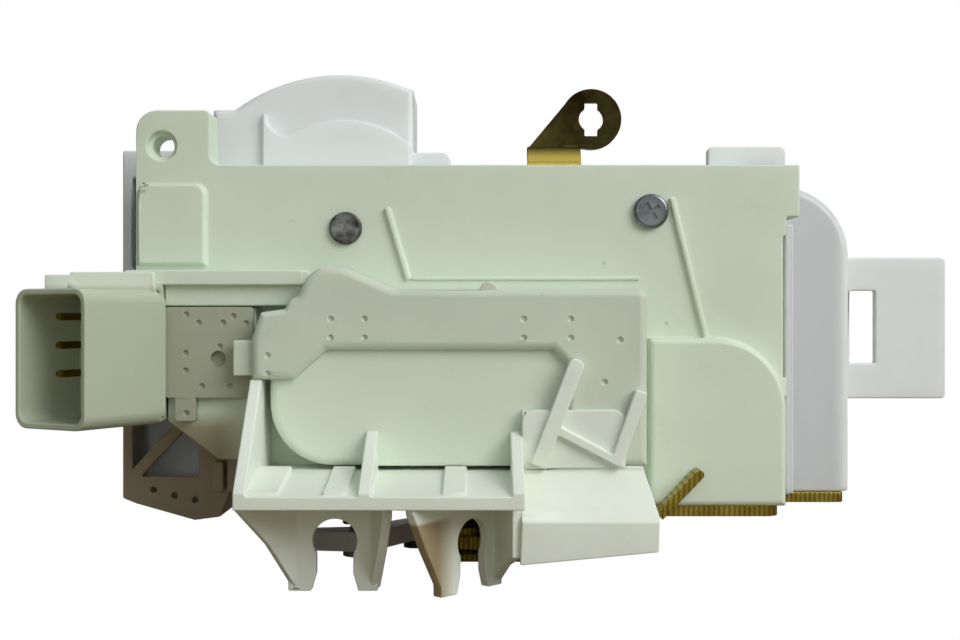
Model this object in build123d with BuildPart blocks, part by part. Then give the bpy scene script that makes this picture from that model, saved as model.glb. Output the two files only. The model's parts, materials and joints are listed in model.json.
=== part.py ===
from build123d import *
import math
import os

# Car door latch with its electric locking actuator. Sizes in millimetres, +Z up, actuator front towards -Y.
# The origin is on the latch face, in the middle of the striker's way in.

os.makedirs("parts", exist_ok=True)

# Steel latch plates
plate_t = 1.5
frame_t = 2.0
plates_apart = 11.5
latch_left = -16.0
latch_right = 31.0
latch_front = -17.0
latch_back = 14.0
latch_chamfer_x = 8.0
latch_chamfer_y = -2.0
channel_w = 12.0
channel_end = -12.5
frame_left = -20.0
frame_right = 49.5
frame_front = -40.0
frame_front_left = 25.0
wing_right = 66.9
wing_front = -21.5
flange_t = 1.7
flange_low_x = 26.0
flange_tip_x = 33.4
flange_tip_z = 21.5
flange_front = -46.0

# Actuator housing
face_y = -38.0
case_depth = 18.0
case_left = -72.4
case_right = 50.6
case_height = 64.5
case_wall = 2.0
face_wall = 2.2
corner_gap_top = 31.2
corner_gap_left = -65.1
corner_gap_mid = -56.4
corner_gap_low = 23.6
corner_gap_right = -51.2
side_block_right = 53.8
side_block_low = 69.6
ear_right = -58.3
ear_height = 10.4
ear_depth = 7.4
ear_corner_r = 4.0
ear_hole_x = -67.5
ear_hole_rise = 3.6
ear_hole_r = 2.05
ear_sink_r = 2.8
ear_sink_depth = 1.4
ear_root_r = 1.4
panel_right = -58.5
panel_low = 60.2
panel_high = 75.9
panel_rise = 1.1
boss_left = 24.8
boss_top = 46.6
boss_rise = 3.0
boss_round = 1.2
boss_corner_r = 13.2
bulge_left = -45.4
bulge_right = 23.0
bulge_low = 23.4
bulge_top = 46.4
bulge_rise = 10.0
bulge_round = 1.8
bulge_wall = 1.6
bulge_corner_r = 11.5
ledge_low = 56.4
ledge_high = 59.2
ledge_right = -39.5
ledge_rise = 8.0
frame_band_low = 52.6
face_rib_w = 1.0
face_rib_rise = 0.9
face_step_rise = 0.45
side_bump = 0.7
slope_top = 31.2
post_x = -56.2
post_w = 3.8

# Rear cover
cover_depth = 16.0
cover_wall = 1.8
cover_left = -80.0
cover_over = 1.5
cover_right = 53.4
cover_left_rise = 3.6
dome_left = -61.6
dome_shoulder_rise = 12.0
dome_peak_x = -35.5
dome_peak_rise = 19.2
dome_right = -20.6
dome_right_rise = 15.9
dome_foot_rise = 3.2
dome_foot_right = -13.0
dome_foot_r = 1.8
shield_right = 68.5
shield_drop = 3.6
shield_bend_x = 66.4
shield_bend_drop = 10.4
shield_side_drop = 19.0
top_tab_left = 39.6
top_tab_t = 3.0
top_tab_right = 55.4
top_tab_rise = 4.4
tail_left = -77.3
tail_right = -60.0
tail_low = 9.1
tab_end = 89.8
tab_low = 33.7
tab_high = 63.0
tab_t = 2.6
tab_front = -15.4
tab_window_left = 69.9
tab_window_right = 75.3
tab_window_low = 41.0
tab_window_high = 56.1
tab_corner_r = 1.0
guard_gap = 0.3
guard_w = 2.1
guard_reach = 5.0
side_slot_w = 3.2
lobe_rise = 1.5
shield_round = 1.8
dome_round = 1.2

# Connector
mouth_x = -81.8
mouth_y = -58.7
socket_turn = 60.0
socket_w = 17.5
socket_low = 30.9
socket_h = 24.6
socket_wall = 1.1
socket_len = 19.4
socket_pocket = 14.0
socket_corner_r = 2.7
pin_pitch = 5.0
pin_count = 3
pin_w = 1.3
pin_t = 0.8
pin_reach = 12.4
pin_up = 2.4
pin_buried = 4.5
key_rise = 1.4
key_w = 2.8
ledge_front = -47.4

# Terminal plate and raised arm
terminal_left = -65.3
terminal_right = -48.9
terminal_low = 35.6
terminal_high = 52.4
terminal_rise = 7.0
terminal_t = 2.0
arm_rise = 12.0
arm_t = 2.0
arm_wall = 1.6
arm_top = 55.7
arm_low = 44.6
arm_left = -48.4
arm_left_low = 39.2
hump_left = -36.6
hump_right = -30.6
hump_top = 59.6
column_left = 8.6
column_right = 23.3
arm_round = 1.6
stub_left = -52.0
stub_top = 46.3
nub_x = -5.4
nub_r = 1.6
dimple_r = 0.5
dimple_depth = 0.5
bar_count = 3
bar_gap = 0.3
bar_t = 0.6
bar_step = 6.0

# Cable bracket
shelf_left = -48.7
shelf_front = -65.6
shelf_under = 17.9
shelf_front_top = 20.2
shelf_back_top = 22.6
gusset_t = 2.1
block_right = 24.4
block_left = 0.6
block_front = -58.0
block_top = 23.6
block_low_left = 7.2
block_low_right = 9.5
block_wall = 2.2
middle_rib_x = -27.6
middle_rib_top = 29.8
block_bend_z = 14.6
block_bend_y = -50.4
fork_y = -52.0
fork_t = 2.0
fork_seat_r = 4.0
fork_throat = 6.6
fork_seat_z = 10.4
fork_tip_z = 1.5
fork_arm = 3.9
fork_one_x = -33.0
fork_two_x = -8.9
fork_two_turn = 48.0
pad_right = 19.2
pad_top = 33.6
pad_rise = 0.8
strap_rise = 2.0
strap_t = 2.8
strap_thin = 1.5

# Motor, worm and gear
motor_right = -2.5
motor_len = 30.5
motor_y = -30.0
motor_z = 34.4
motor_dia = 24.2
motor_flats = 18.3
motor_sheet = 0.8
motor_cap_t = 4.0
motor_nose_r = 5.0
motor_nose_len = 1.6
shaft_r = 1.0
shaft_clear = 0.1
armature_r = 7.2
magnet_t = 2.6
gear_x = -50.0
gear_module = 1.25
gear_teeth = 24
gear_w = 5.0
pinion_teeth = 10
pinion_w = 3.6
worm_r = 4.0
worm_len = 14.0
worm_thread_tip = 5.0
worm_thread_root = 3.0
mesh_slack = 0.3
gear_pin_r = 2.0
pin_clear = 0.08
slider_bar = 3.0
slider_t = 3.4
slider_left = -60.0
slider_right = -8.0

# Release lever
rivet_x = -32.5
rivet_z = 67.4
rivet_r = 2.2
rivet_head_r = 3.1
rivet_head_t = 1.0
bush_r = 3.4
bush_flange_t = 0.7
lever_t = 2.0
lever_y = -33.0
lever_hub_r = 5.4
lever_exit_left = 2.2
lever_exit_right = 12.6
lever_low = 57.0
eye_x = 14.7
eye_z = 89.2
eye_r = 5.9
eye_hole_r = 2.4
eye_key_w = 2.6
eye_key_h = 6.6
eye_step = 2.4
slot_side_room = 3.4

# Fasteners
screw_x = 25.4
screw_z = 70.6
screw_head_r = 3.3
screw_head_h = 1.3
screw_r = 1.5

# Claw and pawl
claw_x = 9.7
claw_y = -3.0
claw_r = 14.0
claw_t = 4.5
claw_steel_t = 3.3
claw_skin = 0.6
claw_lift = 0.4
claw_bush_r = 4.6
claw_seat_reach = 11.0
claw_seat_angle = 145.0
claw_mouth_angle = 80.0
claw_slot_w = 9.5
m6_r = 2.5
standoff_r = 4.4
pawl_x = -10.3
pawl_y = -8.0
pawl_t = 2.6
pawl_hub_r = 5.0
pawl_rivet_r = 2.5
pawl_nose_gap = 0.4
pawl_tail_x = -24.2
wire_r = 0.7

claw_coil_r = 6.2
claw_wire_r = 0.8
pawl_coil_r = 3.9
pawl_tail_front = -12.0
pawl_tail_back = -5.0
inside_pin_x = -31.0
inside_pin_y = -27.0
inside_pin_r = 1.8
inside_low = 4.6
inside_t = 3.8
inside_left = -42.4
inside_tip_x = -20.6
switch_h = 4.7
switch_w = 5.3
switch_l = 12.0
button_r = 0.9
button_out = 1.0
rear_screw_r = 1.4
rear_head_r = 2.9
rear_head_h = 1.4
gasket_w = 1.0
gasket_t = 0.8
standoff_left_x = -11.5
standoff_left_y = 9.0
standoff_right_x = 26.6
standoff_right_y = 8.4
flange_d = 4.6

# Shared clearances
run_clear = 0.3
seat_clear = 0.2

# Values worked out from the sizes above
frame_under = plate_t + plates_apart
case_bottom = frame_under + frame_t
case_top = case_bottom + case_height
case_back = face_y + case_depth
cover_top = case_top + cover_over
cover_left_top = cover_top + cover_left_rise
dome_foot = cover_top + dome_foot_rise
dome_shoulder = cover_top + dome_shoulder_rise
dome_right_top = cover_top + dome_right_rise
dome_peak = cover_top + dome_peak_rise
shield_top = cover_top - shield_drop
shield_bend_z = cover_top - shield_bend_drop
shield_side_top = cover_top - shield_side_drop
top_tab_top = cover_top + top_tab_rise
guard_left = side_block_right + guard_gap
guard_top = side_block_low - guard_gap - 0.1
lobe_left = dome_left + 10.4
lobe_right = dome_right - 0.6
lobe_top = cover_top + dome_shoulder_rise - 0.8
cavity_front = face_y + face_wall
cover_back = case_back + cover_depth
cover_inside = cover_back - cover_wall
ear_top = case_top + ear_height
ear_hole_z = case_top + ear_hole_rise
bulge_front = face_y - bulge_rise
arm_front = face_y - arm_rise
terminal_front = face_y - terminal_rise
gear_pitch_r = gear_module * gear_teeth / 2
gear_tip_r = gear_pitch_r + 0.8 * gear_module
gear_root_r = gear_pitch_r - gear_module
gear_z = motor_z + worm_r + gear_pitch_r + mesh_slack
tooth_pitch = math.pi * gear_module
pinion_pitch_r = gear_module * pinion_teeth / 2
motor_left = motor_right - motor_len
gear_front = motor_y - gear_w / 2
gear_back = motor_y + gear_w / 2
claw_z = plate_t + claw_lift
lever_front = lever_y - lever_t / 2
lever_back = lever_y + lever_t / 2
rivet_back = lever_back + 4.5
standoffs = ((standoff_left_x, standoff_left_y), (standoff_right_x, standoff_right_y))
rear_screws_at = (
    (case_left + 6.0, case_top - 7.4),
    (case_right - 5.0, case_top - 12.0),
    (case_right - 5.0, case_bottom + 7.0),
)
rack_line = gear_z + pinion_pitch_r + mesh_slack
slider_y = gear_back + run_clear + slider_t
slider_top = rack_line + gear_module + slider_bar
lock_switch_left = slider_right + run_clear + button_out
lock_switch_z = slider_top


def facing(y):
    return Plane.XZ.offset(-y)


def across(x):
    return Plane.YZ.offset(x)


def level(z):
    return Plane.XY.offset(z)


def outline(*corners):
    """A straight-sided face through these corners, in the sketch that is open."""
    Polygon(*corners, align=None)


def save(part, name):
    part.label = name
    export_step(part, f"parts/{name}.step")


# Outline of the actuator housing, with its lower left corner left out
with BuildSketch() as case_outline:
    outline(
        (case_left, corner_gap_top),
        (case_left, case_top),
        (case_right, case_top),
        (case_right, case_bottom),
        (corner_gap_right, case_bottom),
        (corner_gap_right, corner_gap_low),
        (corner_gap_mid, corner_gap_low),
        (corner_gap_left, corner_gap_top),
    )

with BuildSketch() as case_room:
    add(case_outline.sketch)
    offset(amount=-case_wall, kind=Kind.INTERSECTION)

with BuildSketch() as gasket_ring:
    add(case_outline.sketch)
    offset(amount=-(case_wall - gasket_w) / 2, kind=Kind.INTERSECTION)
    with BuildSketch(mode=Mode.SUBTRACT):
        add(case_outline.sketch)
        offset(amount=-(case_wall + gasket_w) / 2, kind=Kind.INTERSECTION)

# Outline of the rear cover: dome at the top left, shield at the right, foot at the lower left
with BuildSketch() as cover_outline:
    with BuildLine():
        Polyline(
            (dome_left, cover_left_top),
            (cover_left, cover_left_top),
            (cover_left, tail_low + 4.5),
            (tail_left, tail_low + 3.4),
            (tail_left + 12.0, tail_low),
            (tail_right, tail_low + 0.7),
            (tail_right + 2.0, case_bottom),
            (shield_right, case_bottom),
            (shield_right, shield_side_top),
        )
        ThreePointArc(
            (shield_right, shield_side_top),
            (shield_bend_x, shield_bend_z),
            (cover_right, shield_top),
        )
        Polyline((cover_right, shield_top), (cover_right, cover_top), (dome_foot_right, cover_top))
        Line((dome_foot_right, cover_top), (dome_foot_right, dome_foot - dome_foot_r))
        ThreePointArc(
            (dome_foot_right, dome_foot - dome_foot_r),
            (dome_foot_right - 0.3 * dome_foot_r, dome_foot - 0.3 * dome_foot_r),
            (dome_foot_right - dome_foot_r, dome_foot),
        )
        Line((dome_foot_right - dome_foot_r, dome_foot), (dome_right, dome_foot))
        Line((dome_right, dome_foot), (dome_right, dome_right_top))
        ThreePointArc(
            (dome_right, dome_right_top),
            (dome_peak_x, dome_peak),
            (dome_left + 4.4, dome_shoulder),
        )
        Polyline((dome_left + 4.4, dome_shoulder), (dome_left, dome_shoulder), (dome_left, cover_left_top))
    make_face()

with BuildSketch() as cover_room:
    add(cover_outline.sketch)
    offset(amount=-cover_wall)


# Lobe that stands proud of the dome, with its scalloped top edge
with BuildSketch() as lobe_outline:
    with BuildLine():
        Polyline((lobe_left, cover_top), (lobe_left, lobe_top - 0.4), (lobe_left + 0.4, lobe_top))
        ThreePointArc(
            (lobe_left + 0.4, lobe_top),
            (lobe_left + 2.0, lobe_top - 3.6),
            (lobe_left + 5.0, lobe_top - 4.8),
        )
        ThreePointArc(
            (lobe_left + 5.0, lobe_top - 4.8),
            ((lobe_left + lobe_right) / 2 + 3.4, lobe_top - 1.6),
            (lobe_right, lobe_top - 6.6),
        )
        Polyline((lobe_right, lobe_top - 6.6), (lobe_right, cover_top), (lobe_left, cover_top))
    make_face()


# Main housing: an open-backed box with the motor bulge, the round boss and the mounting ear
with BuildPart() as main_housing:
    with BuildSketch(facing(case_back)):
        add(case_outline.sketch)
    extrude(amount=case_depth)
    with BuildSketch(facing(case_back)):
        with Locations(((side_block_right + case_right - case_wall) / 2, (side_block_low + case_top) / 2)):
            Rectangle(side_block_right - case_right + case_wall, case_top - side_block_low)
    extrude(amount=case_depth)
    with BuildSketch(facing(face_y)) as boss_sketch:
        with Locations(((boss_left + case_right) / 2, (case_bottom + boss_top) / 2)):
            Rectangle(case_right - boss_left, boss_top - case_bottom)
        fillet(boss_sketch.vertices().group_by(Axis.X)[-1].sort_by(Axis.Y)[-1], boss_corner_r)
    extrude(amount=boss_rise)
    fillet(main_housing.faces().sort_by(Axis.Y)[0].edges(), boss_round)
    with BuildSketch(facing(face_y)) as bulge_sketch:
        with Locations(((bulge_left + bulge_right) / 2, (bulge_low + bulge_top) / 2)):
            Rectangle(bulge_right - bulge_left, bulge_top - bulge_low)
        fillet(bulge_sketch.vertices().group_by(Axis.X)[0].sort_by(Axis.Y)[0], bulge_corner_r)
    extrude(amount=bulge_rise)
    fillet(main_housing.faces().sort_by(Axis.Y)[0].edges(), bulge_round)
    # To the right of the shelf's middle rib the bulge stands square on the shelf
    with BuildSketch(facing(face_y)):
        outline(
            (middle_rib_x, bulge_low),
            (middle_rib_x, bulge_low + 2 * bulge_round),
            (bulge_right, bulge_low + 2 * bulge_round),
            (bulge_right, bulge_low),
        )
    extrude(amount=bulge_rise)
    with BuildSketch(facing(face_y)) as panel_sketch:
        with Locations(((case_left + panel_right) / 2, (panel_low + panel_high) / 2)):
            Rectangle(panel_right - case_left - 0.6, panel_high - panel_low)
        fillet(panel_sketch.vertices().group_by(Axis.Y)[-1], 2.2)
    extrude(amount=panel_rise, taper=25)
    with BuildSketch(facing(face_y + ear_depth)) as ear_sketch:
        with Locations(((case_left + ear_right) / 2, (case_top - case_wall + ear_top) / 2)):
            Rectangle(ear_right - case_left, ear_top - case_top + case_wall)
        fillet(ear_sketch.vertices().group_by(Axis.Y)[-1].sort_by(Axis.X)[0], ear_corner_r)
        fillet(ear_sketch.vertices().group_by(Axis.Y)[-1].sort_by(Axis.X)[-1], 1.2)
    extrude(amount=ear_depth)
    # Small gusset between the ear and the top, and bumps on the right side
    with BuildSketch(facing(face_y + ear_depth)):
        outline(
            (ear_right - 0.2, case_top + ear_root_r),
            (ear_right, case_top + ear_root_r),
            (ear_right + 0.4 * ear_root_r, case_top + 0.4 * ear_root_r),
            (ear_right + ear_root_r, case_top),
            (ear_right + ear_root_r, case_top - 0.2),
            (ear_right - 0.2, case_top - 0.2),
        )
    extrude(amount=ear_depth)
    with BuildSketch(facing(face_y + 6.0)):
        with Locations((case_right, side_block_low - 1.8), (case_right, 37.2)):
            Rectangle(2 * side_bump, 3.6)
    extrude(amount=6.0)
    with BuildSketch(facing(face_y)):
        outline(
            (-19.8, arm_top + 1.9),
            (column_right, arm_top + 1.9),
            (column_right, arm_top + 2.5),
            (-19.8, arm_top + 2.5),
        )
    extrude(amount=face_step_rise)
    # The ledge over the connector and the band under it
    with BuildSketch(facing(face_y)):
        with Locations(((case_left + ledge_right) / 2, (ledge_low + ledge_high) / 2)):
            Rectangle(ledge_right - case_left, ledge_high - ledge_low)
    extrude(amount=ledge_rise)
    with BuildSketch(facing(face_y)):
        with Locations(((terminal_left + ledge_right) / 2, (frame_band_low + ledge_low) / 2)):
            Rectangle(ledge_right - terminal_left, ledge_low - frame_band_low)
    extrude(amount=terminal_rise - 0.6)
    # Diagonal stiffening ribs on the front face
    for rib_start, rib_end in (((-24.7, 71.3), (-20.6, 57.6)), ((29.3, 73.2), (35.9, boss_top))):
        with BuildSketch(facing(face_y)):
            with BuildLine():
                Line(rib_start, rib_end)
            trace(line_width=face_rib_w)
        extrude(amount=face_rib_rise)
    # Body below the terminal plate
    with BuildSketch(facing(face_y)):
        outline(
            (corner_gap_left, corner_gap_top),
            (corner_gap_left, terminal_high),
            (shelf_left - 0.1, terminal_high),
            (shelf_left - 0.1, corner_gap_low),
            (corner_gap_mid, corner_gap_low),
        )
    extrude(amount=terminal_rise - terminal_t)
    with BuildSketch(across(corner_gap_left - 1.0)):
        outline(
            (terminal_front + terminal_t - 0.1, slope_top),
            (terminal_front + terminal_t - 0.1, corner_gap_low - 1.0),
            (face_y - 0.8, corner_gap_low - 1.0),
        )
    extrude(amount=shelf_left - corner_gap_left + 0.9, mode=Mode.SUBTRACT)
    # Hollow inside
    with BuildSketch(facing(case_back)):
        add(case_room.sketch)
    extrude(amount=case_depth - face_wall, mode=Mode.SUBTRACT)
    with BuildSketch(facing(cavity_front)) as bulge_room:
        with Locations(((bulge_left + bulge_right) / 2, (bulge_low + bulge_top) / 2)):
            Rectangle(bulge_right - bulge_left - 2 * bulge_wall, bulge_top - bulge_low - 2 * bulge_wall)
        fillet(bulge_room.vertices().group_by(Axis.X)[0].sort_by(Axis.Y)[0], bulge_corner_r - bulge_wall)
    extrude(amount=bulge_rise + face_wall - bulge_wall, mode=Mode.SUBTRACT)
    # Motor cradle ribs, the gear pin boss, the cover screw boss and the switch rests
    motor_rest = motor_z - motor_flats / 2
    for cradle_x in (motor_left + 5.0, motor_right - 8.0):
        with BuildSketch(across(cradle_x)):
            outline(
                (cavity_front - 0.2, case_bottom + 1.0),
                (case_back - 2.0, case_bottom + 1.0),
                (case_back - 2.0, motor_rest),
                (cavity_front - 0.2, motor_rest),
            )
        extrude(amount=2.0)
    with BuildSketch(facing(gear_front - run_clear)):
        with Locations((gear_x, gear_z)):
            Circle(gear_pin_r + 2.0)
    extrude(amount=gear_front - run_clear - cavity_front + 0.4)
    with BuildSketch(facing(lever_front - bush_flange_t - run_clear)):
        with Locations((rivet_x, rivet_z)):
            Circle(bush_r + 1.0)
    extrude(amount=lever_front - bush_flange_t - run_clear - cavity_front + 0.4)
    with BuildSketch(facing(case_back)):
        with Locations((screw_x, screw_z)):
            Circle(3.6)
    extrude(amount=case_depth - face_wall + 0.4)
    with BuildSketch(facing(case_back)):
        with Locations(*rear_screws_at):
            Circle(3.2)
    extrude(amount=case_depth - face_wall + 0.4)
    with BuildSketch(level(case_bottom)):
        with Locations((inside_pin_x, inside_pin_y)):
            Circle(inside_pin_r + 1.8)
    extrude(amount=case_wall + 4.0)
    # Holes: ear, gear pin, lever rivet, screws, lever pin and the slot that the lever leaves by
    with BuildSketch(facing(case_back)):
        with Locations(*rear_screws_at):
            Circle(rear_screw_r)
    extrude(amount=12.0, mode=Mode.SUBTRACT)
    with BuildSketch(level(case_bottom)):
        with Locations((inside_pin_x, inside_pin_y)):
            Circle(inside_pin_r)
    extrude(amount=case_wall + 3.0, mode=Mode.SUBTRACT)
    with BuildSketch(facing(face_y)):
        with Locations((ear_hole_x, ear_hole_z)):
            Circle(ear_hole_r)
    extrude(amount=-ear_depth, mode=Mode.SUBTRACT)
    with BuildSketch(facing(face_y)):
        with Locations((ear_hole_x, ear_hole_z)):
            Circle(ear_sink_r)
    extrude(amount=-ear_sink_depth, mode=Mode.SUBTRACT)
    with BuildSketch(facing(face_y)):
        with Locations((rivet_x, rivet_z)):
            Circle(rivet_r)
        with Locations((screw_x, screw_z)):
            Circle(screw_r)
    extrude(amount=-case_depth, mode=Mode.SUBTRACT)
    with BuildSketch(facing(gear_front - run_clear)):
        with Locations((gear_x, gear_z)):
            Circle(gear_pin_r)
    extrude(amount=gear_front - run_clear - cavity_front, mode=Mode.SUBTRACT)
    with BuildSketch(level(case_top - case_wall)):
        with Locations(((lever_exit_left + lever_exit_right) / 2, lever_y)):
            Rectangle(lever_exit_right - lever_exit_left + 2 * slot_side_room, lever_t + 2 * run_clear + 0.4)
    extrude(amount=case_wall, mode=Mode.SUBTRACT)

save(main_housing.part, "main_housing")


# Rear cover: a translucent closed shell with the dome, the side shield, the tab and the open corner
with BuildPart() as rear_cover:
    with BuildSketch(facing(cover_back)):
        add(cover_outline.sketch)
    extrude(amount=cover_depth)
    front_edges = rear_cover.faces().sort_by(Axis.Y)[0].edges()
    fillet(front_edges.filter_by(lambda edge: edge.center().X > case_right + 8.0), shield_round)
    front_edges = rear_cover.faces().sort_by(Axis.Y)[0].edges()
    fillet(front_edges.filter_by(lambda edge: edge.center().Z > dome_foot + 3.0), dome_round)
    with BuildSketch(facing(case_back + top_tab_t)):
        with Locations(((top_tab_left + top_tab_right) / 2, (cover_top - cover_wall + top_tab_top) / 2)):
            RectangleRounded(top_tab_right - top_tab_left, top_tab_top - cover_top + cover_wall, 1.0)
    extrude(amount=top_tab_t)
    with BuildSketch(facing(tab_front + tab_t)) as tab_sketch:
        with Locations(((shield_right - cover_wall + tab_end) / 2, (tab_low + tab_high) / 2)):
            Rectangle(tab_end - shield_right + cover_wall, tab_high - tab_low)
        fillet(tab_sketch.vertices().group_by(Axis.X)[-1], tab_corner_r)
        with Locations(((tab_window_left + tab_window_right) / 2, (tab_window_low + tab_window_high) / 2)):
            Rectangle(
                tab_window_right - tab_window_left,
                tab_window_high - tab_window_low,
                mode=Mode.SUBTRACT,
            )
    extrude(amount=tab_t)
    with BuildSketch(facing(cover_inside)):
        add(cover_room.sketch)
    extrude(amount=cover_depth - 2 * cover_wall, mode=Mode.SUBTRACT)
    with BuildSketch(facing(case_back + cover_wall)):
        add(case_room.sketch)
    extrude(amount=cover_wall, mode=Mode.SUBTRACT)
    # Lobe on the dome, the guard strip beside the housing and the post in the lower-left corner
    with BuildSketch(facing(case_back + 0.2)):
        add(lobe_outline.sketch)
    extrude(amount=lobe_rise + 0.2)
    for strip, reach in ((0, guard_reach), (1, guard_reach - 1.5)):
        with BuildSketch(facing(case_back + 0.2)):
            with Locations((guard_left + (strip + 0.5) * guard_w / 2, (case_bottom + guard_top) / 2)):
                Rectangle(guard_w / 2, guard_top - case_bottom)
        extrude(amount=reach + 0.2)
    with BuildSketch(facing(case_back + 0.2)):
        with Locations((post_x, (case_bottom + corner_gap_low) / 2)):
            RectangleRounded(post_w, corner_gap_low - case_bottom - 0.4, 0.8)
        with Locations((post_x - post_w, (case_bottom + corner_gap_low) / 2 - 1.0)):
            RectangleRounded(post_w * 0.6, corner_gap_low - case_bottom - 2.4, 0.8)
    extrude(amount=3.0)
    # Slots along the left side that show the inside
    with BuildSketch(facing(case_back + cover_wall)):
        with Locations((cover_left + cover_wall + side_slot_w / 2, case_top - 9.8)):
            RectangleRounded(side_slot_w, 19.0, 1.0)
    extrude(amount=cover_wall, mode=Mode.SUBTRACT)
    # Two openings with a diagonal rib between them in the lower-left corner
    with BuildSketch(facing(case_back + cover_wall)):
        outline((-78.0, 19.6), (-78.0, 29.6), (-68.6, 29.6))
        outline((-76.2, 18.0), (-67.2, 27.6), (-64.5, 27.6), (-64.5, 18.0))
    extrude(amount=cover_wall, mode=Mode.SUBTRACT)
    # Pin and screw bosses on the back wall
    with BuildSketch(facing(cover_inside + 0.2)):
        with Locations((gear_x, gear_z)):
            Circle(gear_pin_r + 2.0)
    extrude(amount=cover_inside + 0.2 - (gear_back + pinion_w + run_clear))
    with BuildSketch(facing(cover_inside + 0.2)):
        with Locations((screw_x, screw_z)):
            Circle(3.2)
    extrude(amount=cover_inside + 0.2 - case_back)
    with BuildSketch(facing(cover_inside)):
        with Locations((gear_x, gear_z)):
            Circle(gear_pin_r)
    extrude(amount=cover_inside - (gear_back + pinion_w + run_clear), mode=Mode.SUBTRACT)
    # Screw posts, rails over and under the lock slider, and pegs that carry the lock switch
    with BuildSketch(facing(cover_inside + 0.2)):
        with Locations(*rear_screws_at):
            Circle(3.2)
    extrude(amount=cover_inside + 0.2 - case_back)
    with BuildSketch(facing(cover_back)):
        with Locations(*rear_screws_at):
            Circle(rear_screw_r)
    extrude(amount=cover_depth, mode=Mode.SUBTRACT)
    with BuildSketch(facing(cover_inside + 0.2)):
        for rail_x in (slider_left + 4.0, slider_right - 20.0):
            with Locations((rail_x, slider_top + seat_clear + 0.9)):
                Rectangle(4.0, 1.8)
        with Locations((slider_right - 12.0, slider_top - slider_bar - seat_clear - 0.9)):
            Rectangle(4.0, 1.8)
    extrude(amount=cover_inside + 0.2 - gear_back - run_clear)
    with BuildSketch(facing(cover_inside + 0.2)):
        for peg_z in (lock_switch_z - 2.4, lock_switch_z + 2.4):
            with Locations((lock_switch_left + 3.4, peg_z)):
                Circle(1.2)
    extrude(amount=cover_inside + 0.2 - slider_y)
    with BuildSketch(facing(case_back)):
        add(gasket_ring.sketch)
    extrude(amount=-gasket_t, mode=Mode.SUBTRACT)
    # Small moulded holes in the foot
    with BuildSketch(facing(case_back)):
        with Locations((-73.7, 15.3), (-69.4, 14.1), (-65.2, 13.2)):
            Circle(0.6)
    extrude(amount=-cover_wall, mode=Mode.SUBTRACT)

save(rear_cover.part, "rear_cover")


# Connector socket, turned towards the front left
turn = math.radians(socket_turn)
turn_x = math.cos(turn)
turn_y = math.sin(turn)
socket_middle = socket_low + socket_h / 2
mouth = Plane(
    origin=(mouth_x, mouth_y, socket_middle),
    x_dir=(turn_y, -turn_x, 0),
    z_dir=(-turn_x, -turn_y, 0),
)


def socket_at(depth, across_by):
    """Plan position that lies so far into the socket from its mouth, and so far to its right."""
    return (
        mouth_x + depth * turn_x + across_by * turn_y,
        mouth_y + depth * turn_y - across_by * turn_x,
    )


with BuildPart() as connector_shell:
    with BuildSketch(mouth):
        RectangleRounded(socket_w, socket_h, socket_corner_r)
    extrude(amount=-socket_len)
    # Foot that seats the socket on the corner of the housing
    with BuildSketch(level(socket_low + 0.5)):
        outline(
            socket_at(socket_len - 1.0, socket_w / 2 - 0.3),
            (corner_gap_left - 0.3, terminal_front - 0.4),
            (corner_gap_left - 0.3, face_y),
            (case_left, face_y),
            (case_left, face_y + 7.0),
            (case_left - 3.4, face_y + 7.0),
            socket_at(socket_len - 1.0, -socket_w / 2 + 0.3),
        )
    extrude(amount=ledge_low - socket_low - 0.5)
    # Raised ledge on top, in two steps, that laps the front of the housing's own ledge
    for ledge_left, ledge_drop in ((-86.6, 0.9), (-82.0, 0.4)):
        with BuildSketch(level(socket_low + socket_h - 0.6)):
            outline(
                (ledge_left, ledge_front),
                (-66.6, ledge_front),
                (-66.6, face_y - ledge_rise),
                (case_left, face_y - ledge_rise),
                (case_left, face_y - 2.0),
                (ledge_left + 5.0, face_y - 2.0),
                (ledge_left + 0.8, ledge_front + 1.0),
            )
        extrude(amount=ledge_high - socket_low - socket_h + 0.6 - ledge_drop)
    with BuildSketch(mouth):
        RectangleRounded(socket_w - 2 * socket_wall, socket_h - 2 * socket_wall, socket_corner_r - 0.8)
    extrude(amount=-socket_pocket, mode=Mode.SUBTRACT)
    # Keying rib inside the pocket
    with BuildSketch(mouth.offset(-2.0)):
        with Locations((socket_w / 2 - socket_wall - key_rise / 2 + 0.1, 0.8)):
            Rectangle(key_rise + 0.2, key_w)
    extrude(amount=-(socket_pocket - 1.8))
    with BuildSketch(mouth.offset(-socket_pocket)):
        for row in range(pin_count):
            with Locations((0, (row - (pin_count - 1) / 2) * pin_pitch + pin_up)):
                Rectangle(pin_t, pin_w)
    extrude(amount=-pin_buried, mode=Mode.SUBTRACT)

save(connector_shell.part, "connector_shell")

with BuildPart() as connector_pins:
    for row in range(pin_count):
        with BuildSketch(mouth.offset(-socket_pocket - pin_buried)):
            with Locations((0, (row - (pin_count - 1) / 2) * pin_pitch + pin_up)):
                Rectangle(pin_t, pin_w)
        extrude(amount=pin_buried + pin_reach - 0.8)
        with BuildSketch(mouth.offset(-socket_pocket + pin_reach - 0.8)):
            with Locations((0, (row - (pin_count - 1) / 2) * pin_pitch + pin_up)):
                Rectangle(pin_t, pin_w)
        extrude(amount=0.8, taper=18)

save(connector_pins.part, "connector_pins")

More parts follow.
